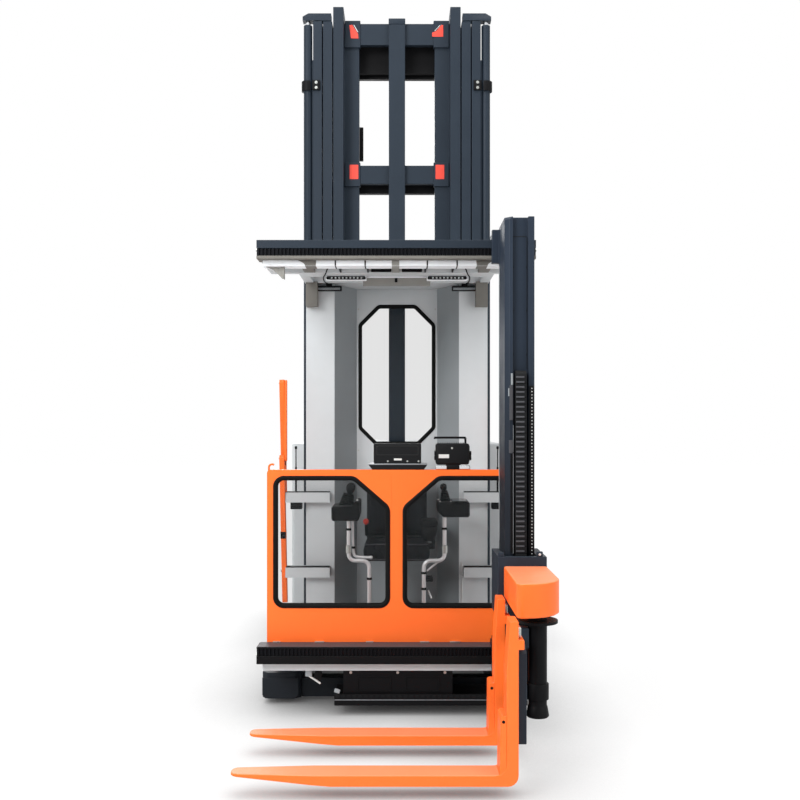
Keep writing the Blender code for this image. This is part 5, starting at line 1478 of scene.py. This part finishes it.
@dataclass
class Consoles:
    """Arm consoles on bent chrome tubes, with a joystick on each.

    Attributes:
        front, back: y of the housings' ends.
        slope: how far the lower front edge is cut back.
        tube_y: y of the tubes.
        sticks: each joystick's side, its boot's foot, radii and height, its grip's foot, half width
            and height, and its lean.
    """

    front: float = -0.4197
    back: float = -0.1603
    slope: float = 0.03
    tube_y: float = -0.365
    sticks: tuple = (("left", ((-0.3, -0.3, 1.066), 0.045, 0.031, 0.076),
                      ((-0.281, -0.3, 1.133), 0.0275, 0.073), 12.0),
                     ("right", ((0.289, -0.3, 1.0988), 0.032, 0.019, 0.06),
                      ((0.281, -0.302, 1.152), 0.021, 0.048), -6.0))

    def housing(self, name: str, corners: list) -> None:
        """Moulded housing: its front outline carried back, sloped in at the lower front.

        Args:
            name: left or right.
            corners: the front outline as (x, z), counter-clockwise.
        """
        outline = rounded_outline(corners, [0.009] * len(corners), 4)
        shape = prism(outline, self.front, self.back, "Y", 0.006)
        points = shape.points
        low, high = points[:, 2].min(), points[:, 2].max()
        ahead = points[:, 1] < (self.front + self.back) / 2
        lift = np.clip((low + self.slope - points[:, 2]) / self.slope, 0.0, 1.0)
        lift += np.clip((points[:, 2] - high + self.slope) / self.slope, 0.0, 1.0)
        points[:, 1] += ahead * lift * self.slope * 0.8
        put(f"console_{name}_housing", shape, PLASTIC, replaces=(f"console_{name}",))

    def boot(self, place: tuple, wide: float, narrow: float, height: float, lean: float) -> Shape:
        """Rubber bellows: a cone whose radius swings by a cosine with its height.

        Args:
            place: the middle of its foot.
            wide, narrow: radii below and above.
            height: of the cone.
            lean: degrees towards +X.

        Returns:
            The shape.
        """
        rise = np.linspace(0.0, 1.0, 41)
        radius = wide + (narrow - wide) * rise + 0.0028 * np.cos(rise * TAU * 5)
        profile = np.column_stack([radius, rise * height])
        return lathed(profile, count=32).turned("Y", lean).moved(place)

    def grip(self, place: tuple, half: float, height: float, lean: float) -> Shape:
        """Joystick head: an oval section on an upright path, narrow below and domed on top.

        Args:
            place: the middle of its foot.
            half: its half width.
            height: of the head.
            lean: degrees towards +X.

        Returns:
            The shape.
        """
        rise = np.linspace(0.0, 1.0, 19)
        size = np.interp(rise, (0.0, 0.12, 0.35, 0.6, 0.82, 0.94, 1.0),
                         (0.52, 0.5, 0.84, 1.0, 0.92, 0.7, 0.4))
        path = np.column_stack([0.0 * rise, -0.012 * rise ** 2, rise * height])
        section = ring(half, 24) * np.array([1.0, 0.85])
        return swept(path, section, (0.0, 1.0, 0.0), scale=size).turned("Y", lean).moved(place)

    def left(self) -> None:
        """Left console with its second stay, its ball, button and band."""
        self.housing("left", [(-0.375, 0.9873), (-0.225, 0.9873), (-0.2143, 1.02), (-0.2143, 1.104),
                              (-0.242, 1.1047), (-0.254, 1.079), (-0.3807, 1.072), (-0.3807, 1.002)])
        button = lathed([[0.006, 0.0], [0.006, 0.003], [0.004, 0.0055], [0.0015, 0.006]],
                        (-0.232, -0.35, 1.1048), "Z", 16)
        stay = tube([(-0.152, -0.338, 0.768), (-0.2, -0.338, 0.769), (-0.24, -0.338, 0.774),
                     (-0.254, -0.338, 0.8), (-0.258, -0.338, 0.87), (-0.26, -0.338, 0.986)], 0.0082)
        ball = lathed(np.column_stack([0.0105 * np.sin(np.linspace(0.15, 3.0, 12)),
                                       -0.0105 * np.cos(np.linspace(0.15, 3.0, 12))]),
                      (-0.152, -0.338, 0.768), "X", 20)
        put("console_stay", [stay, ball, button], SATIN)
        band = lathed([[0.0084, 0.0], [0.012, 0.001], [0.012, 0.013], [0.0084, 0.014]],
                      (-0.2565, -0.338, 0.82), "Z", 20)
        put("stay_band", band, RUBBER)

    def right(self) -> None:
        """Right console with its tray, studs, braces and plug."""
        self.housing("right", [(0.276, 1.0093), (0.42, 1.0093), (0.4277, 1.02), (0.4277, 1.0987),
                               (0.2403, 1.0987), (0.2403, 1.044)])
        tray = block((0.328, -0.41, 1.101), (0.412, -0.2, 1.1055), 0.0018)
        posts = [block((x, y, 1.098), (x + 0.008, y + 0.008, 1.1012), 0.001) for x in (0.336, 0.396)
                 for y in (-0.39, -0.222)]
        put("console_tray", [tray, *posts], GLOSS_PLASTIC)
        dot = lathed([[0.0048, 0.0], [0.0048, 0.003], [0.003, 0.0055], [0.0012, 0.006]], count=14)
        studs = dot.repeated([[0.2545, -0.372, 1.0988], [0.318, -0.372, 1.0988], [0.25, -0.23, 1.0988]])
        brace = tube([(0.244, -0.352, 0.742), (0.21, -0.348, 0.716), (0.178, -0.352, 0.69)], 0.0055)
        rod = tube([(0.186, -0.352, 0.575), (0.196, -0.346, 0.552), (0.206, -0.352, 0.529)], 0.0048)
        put("console_studs", studs, LABEL)
        put("console_brace", [brace, rod], SATIN)
        put("stand_plug", block((0.1745, -0.372, 0.628), (0.214, -0.34, 0.664), 0.007), PLASTIC)

    def build(self) -> None:
        """Housings, tubes, rings, feet, boots and grips."""
        for name, _ in SIDES:
            dress(f"console_stand_{name}", SATIN, 0.0, 1)
        ring_profile = np.array([[0.0123, 0.0], [0.0155, 0.001], [0.0155, 0.013], [0.0123, 0.014]])
        for name, side, places in (("left", -1, ((0.281, 0.93), (0.16, 0.64))),
                                   ("right", 1, ((0.281, 0.934), (0.16, 0.674), (0.16, 0.581)))):
            rings = [lathed(ring_profile, (x, self.tube_y, z), "Z", 24) for x, z in places]
            put(f"stand_bands_{name}", Shape.joined(rings).flipped(side), RUBBER)
        foot = lathed([[0.036, 0.0], [0.036, 0.006], [0.018, 0.01], [0.015, 0.03]],
                      (0.16, self.tube_y, 0.3604), "Z", 28)
        socket = lathed([[0.0123, 0.0], [0.017, 0.002], [0.017, 0.044], [0.0123, 0.048]],
                        (0.281, self.tube_y, 0.796), "Z", 24)
        pair("stand_fittings", [foot, socket], ZINC)
        self.left()
        self.right()
        for name, boot, grip, lean in self.sticks:
            put(f"joystick_boot_{name}", self.boot(*boot, lean), RUBBER)
            put(f"joystick_grip_{name}", self.grip(*grip, lean), PLASTIC)


@dataclass
class Desk:
    """Control desk and monitor on the front panel's top edge.

    Attributes:
        tray_z: height of the light edge round the tray.
    """

    tray_z: float = 1.334

    def desk(self) -> None:
        """Desk on its dish and light tray, with keys, studs and blank label."""
        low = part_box("front_console")[0]
        dish = plates([[(-0.13, 1.3086), (0.15, 1.3086), (0.1672, self.tray_z), (-0.15, self.tray_z)]],
                      -0.8296, -0.6798, 0.002)
        rise = np.array([(-0.823, 1.3414), (-0.686, 1.3414), (-0.686, 1.42), (-0.706, 1.4498),
                         (-0.823, 1.4498)])
        case = prism(rounded_outline(rise.tolist(), [0.0, 0.0, 0.01, 0.01, 0.01], 4), -0.123, 0.135, "X",
                     0.004)
        put("desk_case", [dish, case], PLASTIC, replaces=("front_console",))
        put("desk_tray", block((-0.15, -0.8296, self.tray_z + GAP), (0.1672, -0.6798, 1.3414), 0.0015),
            STEEL)
        key = block((0.0, -0.752, 1.4503), (0.02, -0.742, 1.454), 0.003)
        put("desk_keys", spaced(key, "X", np.linspace(-0.095, 0.087, 6)), PLASTIC)
        face = low.y + 0.006
        put("desk_label", block((-0.0125, face - 0.001, 1.3585), (0.0297, face - GAP, 1.369), 0.0003, 1),
            LABEL)
        put("desk_studs", bolt_heads([[x, face - GAP, 1.354] for x in (-0.046, 0.06, 0.12)], 0.0035,
                                     0.0025), ZINC)
        lid = rectangle((-0.105, 1.388), (0.118, 1.436), 0.006)
        put("desk_lid", framed(lid, face, rectangle((-0.002, 0.0), (0.002, 0.0015), 0.0006, 2)),
            GLOSS_PLASTIC)

    def monitor(self) -> None:
        """Monitor: case, front label and screw, rear glass, yoke, knobs, fins and chrome foot."""
        low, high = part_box("screen")
        case = [block((low.x + 0.0072, low.y, 1.335), (high.x - 0.0165, high.y, high.z), 0.012, 4),
                block((0.27, low.y + 0.01, 1.3086), (0.35, high.y - 0.01, 1.342), 0.003)]
        put("screen_case", case, PLASTIC, replaces=("screen",))
        bezel = rectangle((low.x + 0.014, 1.347), (high.x - 0.014, high.z - 0.012), 0.008)
        put("screen_frame", framed(bezel, high.y, rectangle((-0.004, -0.003), (0.004, 0.0), 0.001)),
            PLASTIC)
        glass = prism(rectangle((low.x + 0.018, 1.351), (high.x - 0.018, high.z - 0.016), 0.005),
                      high.y + 0.0001, high.y + 0.0018, "Y")
        put("screen_face", glass, GLOSS_PLASTIC)
        put("screen_label", block((0.23, low.y - 0.0012, 1.3707), (0.2863, low.y - GAP, 1.391), 0.0004, 1),
            LABEL)
        put("screen_screw", bolt_heads([[0.302, low.y - GAP, 1.425]], 0.004, 0.002), ZINC)
        band = [block((x, low.y + 0.001, 1.3088), (x + 0.06, low.y + 0.052, 1.33), 0.003)
                for x in (0.2142, 0.342)]
        put("screen_foot", band, CHROME)
        z = 1.481
        corner = [(low.x + 0.006, -0.78, z - 0.003), (low.x + 0.012, -0.78, z), (high.x - 0.048, -0.78, z),
                  (high.x - 0.038, -0.78, z - 0.004), (high.x - 0.036, -0.78, z - 0.014),
                  (high.x - 0.036, -0.78, 1.4503)]
        put("screen_yoke", swept(smooth_path(corner, 4),
                                 rectangle((-0.006, -0.0013), (0.006, 0.0013), 0.0008, 2),
                                 (0.0, 1.0, 0.0)), BLACK)
        knob = lathed([[0.007, 0.0], [0.007, 0.003], [0.0125, 0.004], [0.0135, 0.009], [0.011, 0.0125]],
                      axis="X", count=20)
        knobs = [knob.flipped(side).moved((x, -0.79, z))
                 for side, x in ((-1, low.x + 0.0125), (1, high.x - 0.0168)) for z in (1.371, 1.396)]
        put("screen_knobs", knobs, PLASTIC)
        fin = block((0.0, high.y - 0.062, 1.4502), (0.0035, high.y - 0.006, 1.4545), 0.0008)
        put("screen_fins", spaced(fin, "X", np.linspace(low.x + 0.02, high.x - 0.05, 12)), PLASTIC)

    def build(self) -> None:
        """Desk and monitor."""
        self.desk()
        self.monitor()


@dataclass
class Gates:
    """Side gates: two bars and a link on each side.

    Attributes:
        inside, outside: the bars' two faces.
        hinge: y of both hinges.
        lean: angle of the raised bars from upright, in degrees.
        reach: length between a bar's hinge and its pin.
        rows: height of the hinge and of the collar on each bar.
    """

    inside: float = 0.6904
    outside: float = 0.7223
    hinge: float = 0.045
    lean: float = 10.0
    reach: float = 0.72
    rows: tuple = (("upper", 1.1, 1.325), ("lower", 0.635, 0.866))

    def collar(self) -> Shape:
        """Channel clipped over a bar: one wide and two narrow plates, leaning with it."""
        wide = block((self.outside, -0.0214, -0.022), (self.outside + 0.0012, 0.0214, 0.022), 0.0004, 1)
        narrow = [block((self.inside, y, -0.022), (self.outside + 0.0004, y + 0.0011, 0.022), 0.0004, 1)
                  for y in (-0.0214, 0.0203)]
        return Shape.joined([wide, *narrow]).turned("X", self.lean)

    def build(self) -> None:
        """Bars, links, hinge bolts, collars and pins."""
        back = math.tan(math.radians(self.lean))
        y = self.hinge - self.reach * math.sin(math.radians(self.lean))
        rise = self.reach * math.cos(math.radians(self.lean))
        for name, side in SIDES:
            for row, z, high in self.rows:
                node = f"gate_{row}_bar_{name}"
                dress(node, ORANGE, 0.004, 3)
                bolt = bolt_heads([[self.outside, self.hinge, z]], 0.01, 0.007, "X", 1)
                put(f"gate_bolt_{row}_{name}", bolt.flipped(side), ZINC, BODY_OF[node])
                collar = self.collar().moved((0.0, self.hinge - (high - z) * back, high))
                put(f"gate_collar_{row}_{name}", collar.flipped(side), BLACK, BODY_OF[node])
            dress(f"gate_link_{name}", ORANGE, 0.003, 3)
            pins = bolt_heads([[self.outside, y, z + rise] for _, z, _ in self.rows], 0.008, 0.005, "X", 1)
            put(f"gate_pins_{name}", pins.flipped(side), ZINC, f"gate_link_{name}")


@dataclass
class MainMast:
    """Three nested stages with lift cylinders, buffers, clamps and pipes.

    Attributes:
        face: y of the inner stage's end blocks.
        back: y of the outer stage's rear.
    """

    face: float = 0.312
    back: float = 0.515

    def stages(self) -> None:
        """The three stages' own forms, with black painted shade on the rear beams and cut bracket corners.
        """
        for node in ("mast_outer", "mast_middle", "mast_inner"):
            stage = dress(node, SLATE, 0.003)
            if node != "mast_inner":
                # Faces of the rear beams are painted black: painted shade.
                tint(stage, BLACK, lambda middle: (np.abs(middle[:, 0]) < 0.41) & (middle[:, 1] > 0.42))
            if node == "mast_middle":
                for side in (-1, 1):
                    trimmed(stage, (side * 0.608, 0.0, 4.181), (side * 0.021, 0.0, 0.037))
        for name, _ in SIDES:
            dress(f"lift_cylinder_{name}", SLATE)
            dress(f"lift_rod_{name}", CHROME, 0.001, 1)
        pair("channel_strip", block((0.5404, 0.206, 0.62), (0.5464, 0.264, 3.9), 0.001, 1), SLATE,
             "chassis")
        put("pillar_cap", block((-0.0545, 0.2885, 4.1652), (0.0545, 0.4115, 4.204), 0.004), SLATE,
            "mast_inner_stage")

    def buffers(self) -> None:
        """Red buffers on the inner stage's end blocks; the upper ones with a painted white highlight along
        a slanted edge.
        """
        front = self.face - 0.0013
        back = self.face - GAP
        low = rectangle((0.253, 3.159), (0.31, 3.253), 0.004, 3)
        left = [(-0.3128, 4.168), (-0.301, 4.081), (-0.2526, 4.081), (-0.2558, 4.112), (-0.2925, 4.17)]
        right = [(0.231, 4.092), (0.303, 4.092), (0.303, 4.168), (0.292, 4.17), (0.256, 4.128),
                 (0.231, 4.1185)]
        for name, side, high in (("left", -1, left), ("right", 1, right)):
            shapes = [prism(low, front, back, "Y", 0.0004).flipped(side), plates([high], front, back)]
            put(f"mast_buffers_{name}", shapes, RED, "mast_inner_stage")
        # White slivers along the upper buffers' slanted edges: painted highlights.
        slivers = [[(-0.285, 4.169), (-0.2575, 4.121), (-0.2545, 4.124), (-0.28, 4.169)],
                   [(0.246, 4.1295), (0.25, 4.1295), (0.286, 4.169), (0.281, 4.169)]]
        put("buffer_edge_highlights", plates(slivers, front - 0.0003, back, 0.0003), LABEL, "mast_inner_stage")

    def clamps(self) -> None:
        """Two-bolt clamps that hold each cylinder's head to the outer stage."""
        turn = np.linspace(-0.15 * math.pi, 1.15 * math.pi, 20) - math.pi / 2
        band = np.column_stack([0.575 + 0.0385 * np.cos(turn), 0.235 + 0.0385 * np.sin(turn),
                                np.full(20, 3.735)])
        strap = swept(band, rectangle((-0.003, -0.032), (0.003, 0.032), 0.001))
        ear = block((0.494, 0.188, 3.703), (0.545, 0.1997, 3.767), 0.003)
        pair("cylinder_clamp", [strap, ear], BLACK, "chassis")
        bolts = np.array([[0.519, 0.1878, 3.718], [0.519, 0.1878, 3.752]])
        pair("clamp_bolts", bolt_heads(bolts, 0.007, 0.005), ZINC, "chassis")

    def rear_lines(self) -> None:
        """Hydraulic pipes, their clips and the junction block on the back of the outer stage."""
        y = self.back + 0.02
        pipe = tube([(0.0, y, 0.3), (0.0, y, 1.2), (0.0, y, 2.4), (0.0, y, 3.7), (0.0, y - 0.005, 3.86)],
                    0.007, steps=4, count=12)
        put("mast_pipes", spaced(pipe, "X", np.array([-0.3, -0.275, 0.275, 0.3])), STEEL, "chassis")
        clip = block((0.2575, self.back + 0.0005, 0.0), (0.3175, self.back + 0.029, 0.022), 0.003)
        pair("pipe_clips", spaced(clip, "Z", np.array([0.36, 0.5, 3.118, 3.9])), PLASTIC, "chassis")
        put("pipe_junction", block((-0.31, self.back + 0.004, 3.335), (-0.228, self.back + 0.034, 3.561),
                                   0.004), BLACK, "chassis")

    def build(self) -> None:
        """Stages, buffers, clamps and lines."""
        self.stages()
        self.buffers()
        self.clamps()
        self.rear_lines()


@dataclass
class Chassis:
    """Front legs with their nose plates, beam, frame, wheels and the steered drive.

    Attributes:
        load_wheel, drive_wheel: radius of the tread, radius of the hub and width.
        fins: inner and outer radius and thickness of the motor's cooling fins.
        bolts: number of bolts on a wheel.
    """

    load_wheel: tuple = (0.1, 0.076, 0.1)
    drive_wheel: tuple = (0.175, 0.13, 0.13)
    fins: tuple = (0.1, 0.1185, 0.004)
    bolts: int = 6

    def wheel(self, node: str, radius: float, hub: float, width: float) -> None:
        """Two-material wheel: a cast tread on a steel hub with bolts.

        Args:
            node: the wheel that it stands for.
            radius: of the tread.
            hub: radius of the steel disc's edge.
            width: of the tread.
        """
        low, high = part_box(node)
        x, y, z = (low + high) / 2
        half, axle = width / 2, (high.x - low.x) / 2
        body = BODY_OF[node]
        tread = np.array([[hub, -half + 0.004], [radius - 0.012, -half], [radius - 0.003, -half + 0.004],
                          [radius, -half + 0.011], [radius, half - 0.011], [radius - 0.003, half - 0.004],
                          [radius - 0.012, half], [hub, half - 0.004]])
        shape = lattice(lathe_grid(tread, 64), close_rows=True)
        put(f"{node}_tread", Shape(shape.points[:, [2, 0, 1]], shape.loops, shape.sizes).moved((x, y, z)),
            TREAD, body, replaces=(node,))
        disc = np.array([[0.022, -axle], [0.026, -axle + 0.001], [0.03, -half], [0.034, -half + 0.012],
                         [hub - 0.006, -half + 0.012], [hub - GAP, -half + 0.006],
                         [hub - GAP, half - 0.006], [hub - 0.006, half - 0.012], [0.034, half - 0.012],
                         [0.03, half], [0.026, axle - 0.001], [0.022, axle]])
        put(f"{node}_hub", lathed(disc, (x, y, z), "X", 48), STEEL, body)
        angle = np.arange(self.bolts) * TAU / self.bolts
        spot = (hub + 0.03) / 2
        places = np.column_stack([np.full(self.bolts, x + half - 0.012), y + spot * np.cos(angle),
                                  z + spot * np.sin(angle)])
        put(f"{node}_bolts", bolt_heads(places, 0.006, 0.005, "X", 1), ZINC, body)

    def noses(self) -> None:
        """Raised plates with cut lower corners on the legs' fronts."""
        outline = [(0.56, 0.034), (0.728, 0.034), (0.744, 0.052), (0.744, 0.1486), (0.542, 0.1486),
                   (0.542, 0.052)]
        # The nose plates take the slate painted darker as shade low under the truck.
        pair("leg_nose", plates([outline], -0.6962, -0.6902, 0.003), SHADED_SLATE, "chassis")

    def build(self) -> None:
        """Legs, beam, frame, wheels, steering and motor."""
        for name, _ in SIDES:
            # Legs, beam and frame take the slate painted darker as shade low under the truck.
            dress(f"leg_{name}", SHADED_SLATE, 0.006, 3)
            for row in ("front", "rear"):
                self.wheel(f"load_wheel_{row}_{name}", *self.load_wheel)
        self.noses()
        dress("front_beam", SHADED_SLATE, 0.003)
        dress("chassis_frame", SHADED_SLATE, 0.004)
        dress("steer_unit", SLATE, 0.004)
        dress("drive_motor", BLACK, 0.004, 3)
        low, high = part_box("drive_motor")
        middle = ((low.x + high.x) / 2, (low.y + high.y) / 2)
        inner, outer, thick = self.fins
        fin = lathed([[inner, 0.0], [outer, 0.0], [outer, thick], [inner, thick]], (*middle, 0.0))
        put("motor_fins", spaced(fin, "Z", np.linspace(low.z + 0.05, high.z - 0.06, 12)), BLACK,
            BODY_OF["drive_motor"])
        self.wheel("drive_wheel", *self.drive_wheel)


@dataclass
class RearBody:
    """Rear body with its doors, louvres, lamps and lifting eyes.

    Attributes:
        back, side, top: y, x and z of its faces.
        panels: corners of the two service panels at the back, as (x, z).
        split: y where the two side doors meet.
    """

    back: float = 2.1
    side: float = 0.72
    top: float = 1.42
    panels: tuple = (((-0.56, 0.3), (0.56, 1.12)), ((-0.56, 1.15), (0.56, 1.37)))
    split: float = 1.33

    def rear(self) -> None:
        """Louvres and seams of the service panels: a flat section carried round each outline."""
        slat = block((-0.22, 0.0, -0.006), (0.22, 0.01, 0.006), 0.003).turned("X", -25.0)
        put("rear_louvres", spaced(slat.moved((0.0, self.back - 0.0075, 0.0)), "Z",
                                   np.linspace(0.62, 0.98, 13)), PLASTIC, "chassis")
        seams = [framed(rectangle(low, high, 0.03), self.back, self.seam(), 1.0)
                 for low, high in self.panels]
        put("rear_door_seams", seams, RUBBER, "chassis")

    def seam(self) -> np.ndarray:
        """Section of the rubber in a door seam."""
        return rectangle((-0.0035, -0.0012), (0.0035, 0.0012), 0.0008, 2)

    def doors(self) -> Shape:
        """Seams of the right side's two doors: one round both and one between them."""
        outline = rectangle((0.7, 0.3), (1.96, 1.34), 0.04)
        path = np.column_stack([np.full(len(outline), self.side), outline])
        between = np.array([[self.side, self.split, z] for z in (0.302, 0.8, 1.338)])
        return Shape.joined([swept(path, self.seam(), (1.0, 0.0, 0.0), closed=True),
                             swept(between, self.seam(), (1.0, 0.0, 0.0))])

    def eyes(self) -> Shape:
        """The right side's two lifting eyes: a ring carried along half a circle."""
        turn = np.linspace(0.0, math.pi, 14)
        arc = np.column_stack([np.full(14, 0.6), 0.04 * np.cos(turn),
                               self.top + 0.01 + 0.04 * np.sin(turn)])
        return Shape.joined([swept(arc + np.array([0.0, y, 0.0]), ring(0.009, 14), (1.0, 0.0, 0.0))
                             for y in (0.78, 1.9)])

    def build(self) -> None:
        """Shell, battery, seams, louvres, latches, lamps and eyes."""
        dress("rear_body", GREY, 0.01, 4)
        dress("battery_pack", BLACK, 0.004)
        self.rear()
        vent = block((self.side - 0.003, 1.42, -0.005), (self.side + 0.006, 1.76, 0.005), 0.003)
        latches = [block((self.side + GAP, y, 0.84), (self.side + 0.012, y + 0.09, 0.88), 0.004)
                   for y in (1.225, 1.345)]
        lamp = block((0.59, self.back - 0.006, 1.19), (0.66, self.back + 0.003, 1.33), 0.003)
        for stem, shape, finish in (("side_door_seams", self.doors(), RUBBER),
                                    ("side_louvres", spaced(vent, "Z", np.linspace(0.46, 0.8, 12)), GREY),
                                    ("door_latches", latches, PLASTIC), ("tail_lamp", lamp, RED),
                                    ("lifting_eyes", self.eyes(), BLACK)):
            pair(stem, shape, finish, "chassis")


@dataclass
class SideMast:
    """Side mast on the rails with its chains, carriage and swing housing.

    Attributes:
        face: y of the column's front.
        floor: y of the channel's floor.
        chain: y of the energy chain's front.
        pitch: spacing of the energy chain's crossbars.
        rise: spacing of the roller chain's pins.
        pivot_x, pivot_y, circle: axis and radius of the housing's circle of bolts.
    """

    face: float = -1.29
    floor: float = -1.2602
    chain: float = -1.318
    pitch: float = 0.0245
    rise: float = 0.016
    pivot_x: float = 0.635
    pivot_y: float = -1.77
    circle: float = 0.072

    def column(self) -> None:
        """Column with its bevelled head, a painted highlight along its left edge, the channel's joint line,
        side strips and their screws.
        """
        # The column's enamel is darker towards the bottom.
        column = dress("aux_mast", SLATE_DARKER_LOW, 0.003)
        trimmed(column, (0.56, -1.27, 2.585), (-0.03, -0.03, 0.037))
        body = "aux_mast_column"
        # A pale strip along the column's left edge: a painted highlight.
        put("column_edge_highlight", block((0.5386, -1.018, 0.95), (0.5398, -0.992, 2.38), 0.0004, 1), MID_GREY, body)
        put("channel_line", block((0.5803, self.floor - GAP, 2.486), (0.6546, self.floor - 0.00002, 2.492),
                                  0.00005, 1), SHADED_SLATE, body)
        strips = [block((left, self.floor - 0.0018, 1.83), (right, self.floor - GAP, 2.486), 0.0005, 1)
                  for left, right in ((0.5803, 0.585), (0.65, 0.6546))]
        put("channel_strips", strips, SHADED_SLATE, body)
        screws = np.array([[x, self.floor - 0.002, z] for x in (0.5838, 0.6504)
                           for z in (1.9, 2.12, 2.336)])
        put("channel_screws", bolt_heads(screws, 0.0028, 0.002), BLACK, body)

    def fittings(self) -> None:
        """Plates, painted highlights and the bracket on the column's front, left of the chain."""
        body, near, far = "aux_mast_column", self.face - 0.005, self.face - GAP
        put("chain_bracket", plates([bar((0.562, 0.579), (1.575, 1.748)),
                                     bar((0.559, 0.5785), (1.412, 1.476))], near, far, 0.001), NYLON, body)
        # Pale strips on the column's front: painted highlights.
        light = [bar((0.569, 0.579), (1.75, 1.807)), bar((0.556, 0.561), (1.694, 1.733)),
                 bar((0.5795, 0.5815), (1.417, 1.55)), bar((0.5795, 0.5815), (0.915, 1.41))]
        put("column_highlights", plates(light, self.face - 0.0022, far, 0.0003), MID_GREY, body)
        put("column_strip", plates([bar((0.567, 0.5785), (0.92, 1.408))], self.face - 0.0022, far, 0.0005),
            BLACK, body)

    def chains(self) -> None:
        """Energy chain with nylon crossbars, and the roller chain with its pale pins."""
        dress("energy_chain", PLASTIC, 0.0015)
        low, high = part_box("energy_chain")
        rung = block((0.591, self.chain - 0.0025, -0.0042), (0.6325, self.chain - GAP, 0.0042), 0.001, 2)
        put("chain_crossbars", spaced(rung, "Z", np.arange(low.z + 0.23, high.z - 0.01, self.pitch)),
            NYLON, "chain_loop")
        put("roller_chain", block((0.6595, self.face - 0.016, 0.872), (0.683, self.face - 0.0006, 1.745)),
            BLACK, "chain_loop")
        pin = lathed([[0.0024, 0.0], [0.0024, 0.0016], [0.0014, 0.0024]], axis="Y", count=10)
        places = np.arange(0.884, 1.738, self.rise)
        put("roller_pins", spaced(pin.turned("X", 180.0).moved((0.671, self.face - 0.0162, 0.0)), "Z",
                                  places), LABEL, "chain_loop")

    def carriage(self) -> None:
        """Carriage with a bolt in its front and two lugs on its upper edge."""
        dress("aux_carriage", SLATE, 0.004)
        low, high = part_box("aux_carriage")
        front = low.y - GAP
        put("carriage_bolt", bolt_heads([[0.701, front + 0.002, 0.921]], 0.0045, 0.004), LABEL, "aux_lift")
        lugs = [block((0.499, low.y + 0.002, high.z + GAP), (0.526, low.y + 0.026, high.z + 0.02), 0.003),
                block((0.687, low.y + 0.002, high.z + GAP), (0.716, low.y + 0.026, high.z + 0.024), 0.003)]
        put("carriage_lugs", lugs, SLATE, "aux_lift")

    def build(self) -> None:
        """Column, fittings, chains, carriage and housing."""
        self.column()
        self.fittings()
        self.chains()
        self.carriage()
        housing = dress("swing_housing", ORANGE, 0.01, 4)
        # The housing's upper faces are paler orange: painted top light.
        tint(housing, TOP_LIGHT_AND_WEAR, lambda middle: middle[:, 2] > 0.864)
        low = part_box("swing_housing")[0]
        angle = np.arange(8) * TAU / 8
        places = np.column_stack([self.pivot_x + self.circle * np.cos(angle),
                                  self.pivot_y + self.circle * np.sin(angle), np.full(8, low.z - GAP)])
        put("housing_bolts", bolt_heads(places, 0.006, 0.005, "Z", -1), ZINC, "aux_lift")


@dataclass
class ForkHead:
    """Pivot, fork carriage and the two forks.

    Attributes:
        pivot_x, pivot_y: the swivel's axis.
        forks: each fork's name and the y of its two faces.
        pale_top_end: x up to which the blades' tops are paler, from painted top light and rubbing by
            pallets.
    """

    pivot_x: float = 0.635
    pivot_y: float = -1.77
    forks: tuple = (("front", -2.1, -1.97), ("rear", -1.57, -1.44))
    pale_top_end: float = 0.43

    def pivot(self) -> None:
        """Pivot column: its foot, two collars and the flange under the housing, turned as one."""
        profile = np.array([(0.03, 0.25), (0.047, 0.2503), (0.051, 0.256), (0.0505, 0.262), (0.044, 0.298),
                            (0.0415, 0.302), (0.0415, 0.328), (0.0495, 0.33), (0.05, 0.333), (0.05, 0.397),
                            (0.0485, 0.4), (0.0418, 0.4015), (0.042, 0.41), (0.042, 0.669), (0.0885, 0.67),
                            (0.09, 0.6715), (0.09, 0.6825), (0.0885, 0.684), (0.042, 0.685),
                            (0.042, 0.7124)])
        put("pivot_body", lathed(profile, (self.pivot_x, self.pivot_y, 0.0), "Z", 64), BLACK, "fork_head",
            replaces=("pivot_column",))

    def fork(self, name: str, front: float, back: float) -> None:
        """One fork with its paler top, its gusset at the heel, a black disc painted as the shade of the
        hole in it, and its latch.

        Args:
            name: front or rear.
            front: y of its front.
            back: y of its back.
        """
        fork = dress(f"fork_{name}", ORANGE, 0.004, 3)
        # Faces that look up on the blades are paler orange: painted top light and rubbing by pallets.
        tint(fork, TOP_LIGHT_AND_WEAR, lambda at: (at[:, 5] > 0.6) & (at[:, 0] < self.pale_top_end))
        gusset = rounded_outline([(0.434, 0.1002), (0.4618, 0.1002), (0.4618, 0.345), (0.437, 0.345)],
                                 [0.0, 0.0, 0.0, 0.012], 4)
        put(f"fork_gusset_{name}", prism(gusset, front + 0.001, back - 0.001, "Y", 0.0015), ORANGE,
            "fork_head")
        # The hole is a flat black disc: painted shade.
        put(f"gusset_hole_shade_{name}", lathed([[0.007, 0.0], [0.007, 0.0004]], (0.449, front + 0.0008, 0.322),
                                          "Y", 16), BLACK, "fork_head")
        middle = (front + back) / 2
        put(f"fork_latch_{name}", block((0.5128, middle - 0.025, 0.6622), (0.527, middle + 0.025, 0.705),
                                        0.003), ZINC, "fork_head")

    def build(self) -> None:
        """Pivot, carriage and forks."""
        self.pivot()
        dress("fork_carriage", SLATE, 0.004)
        for name, front, back in self.forks:
            self.fork(name, front, back)


def main() -> None:
    """Build every sub-assembly in order."""
    Studio().build()
    for part in (FrontPanel(), Rails(), CabWall(), Roof(), Floor(), Seat(), Consoles(), Desk(), Gates(),
                 MainMast(), Chassis(), RearBody(), SideMast(), ForkHead()):
        part.build()
        log.info("%s done", type(part).__name__)


if __name__ == "__main__":
    logging.basicConfig(level=logging.INFO, format="%(message)s")
    main()
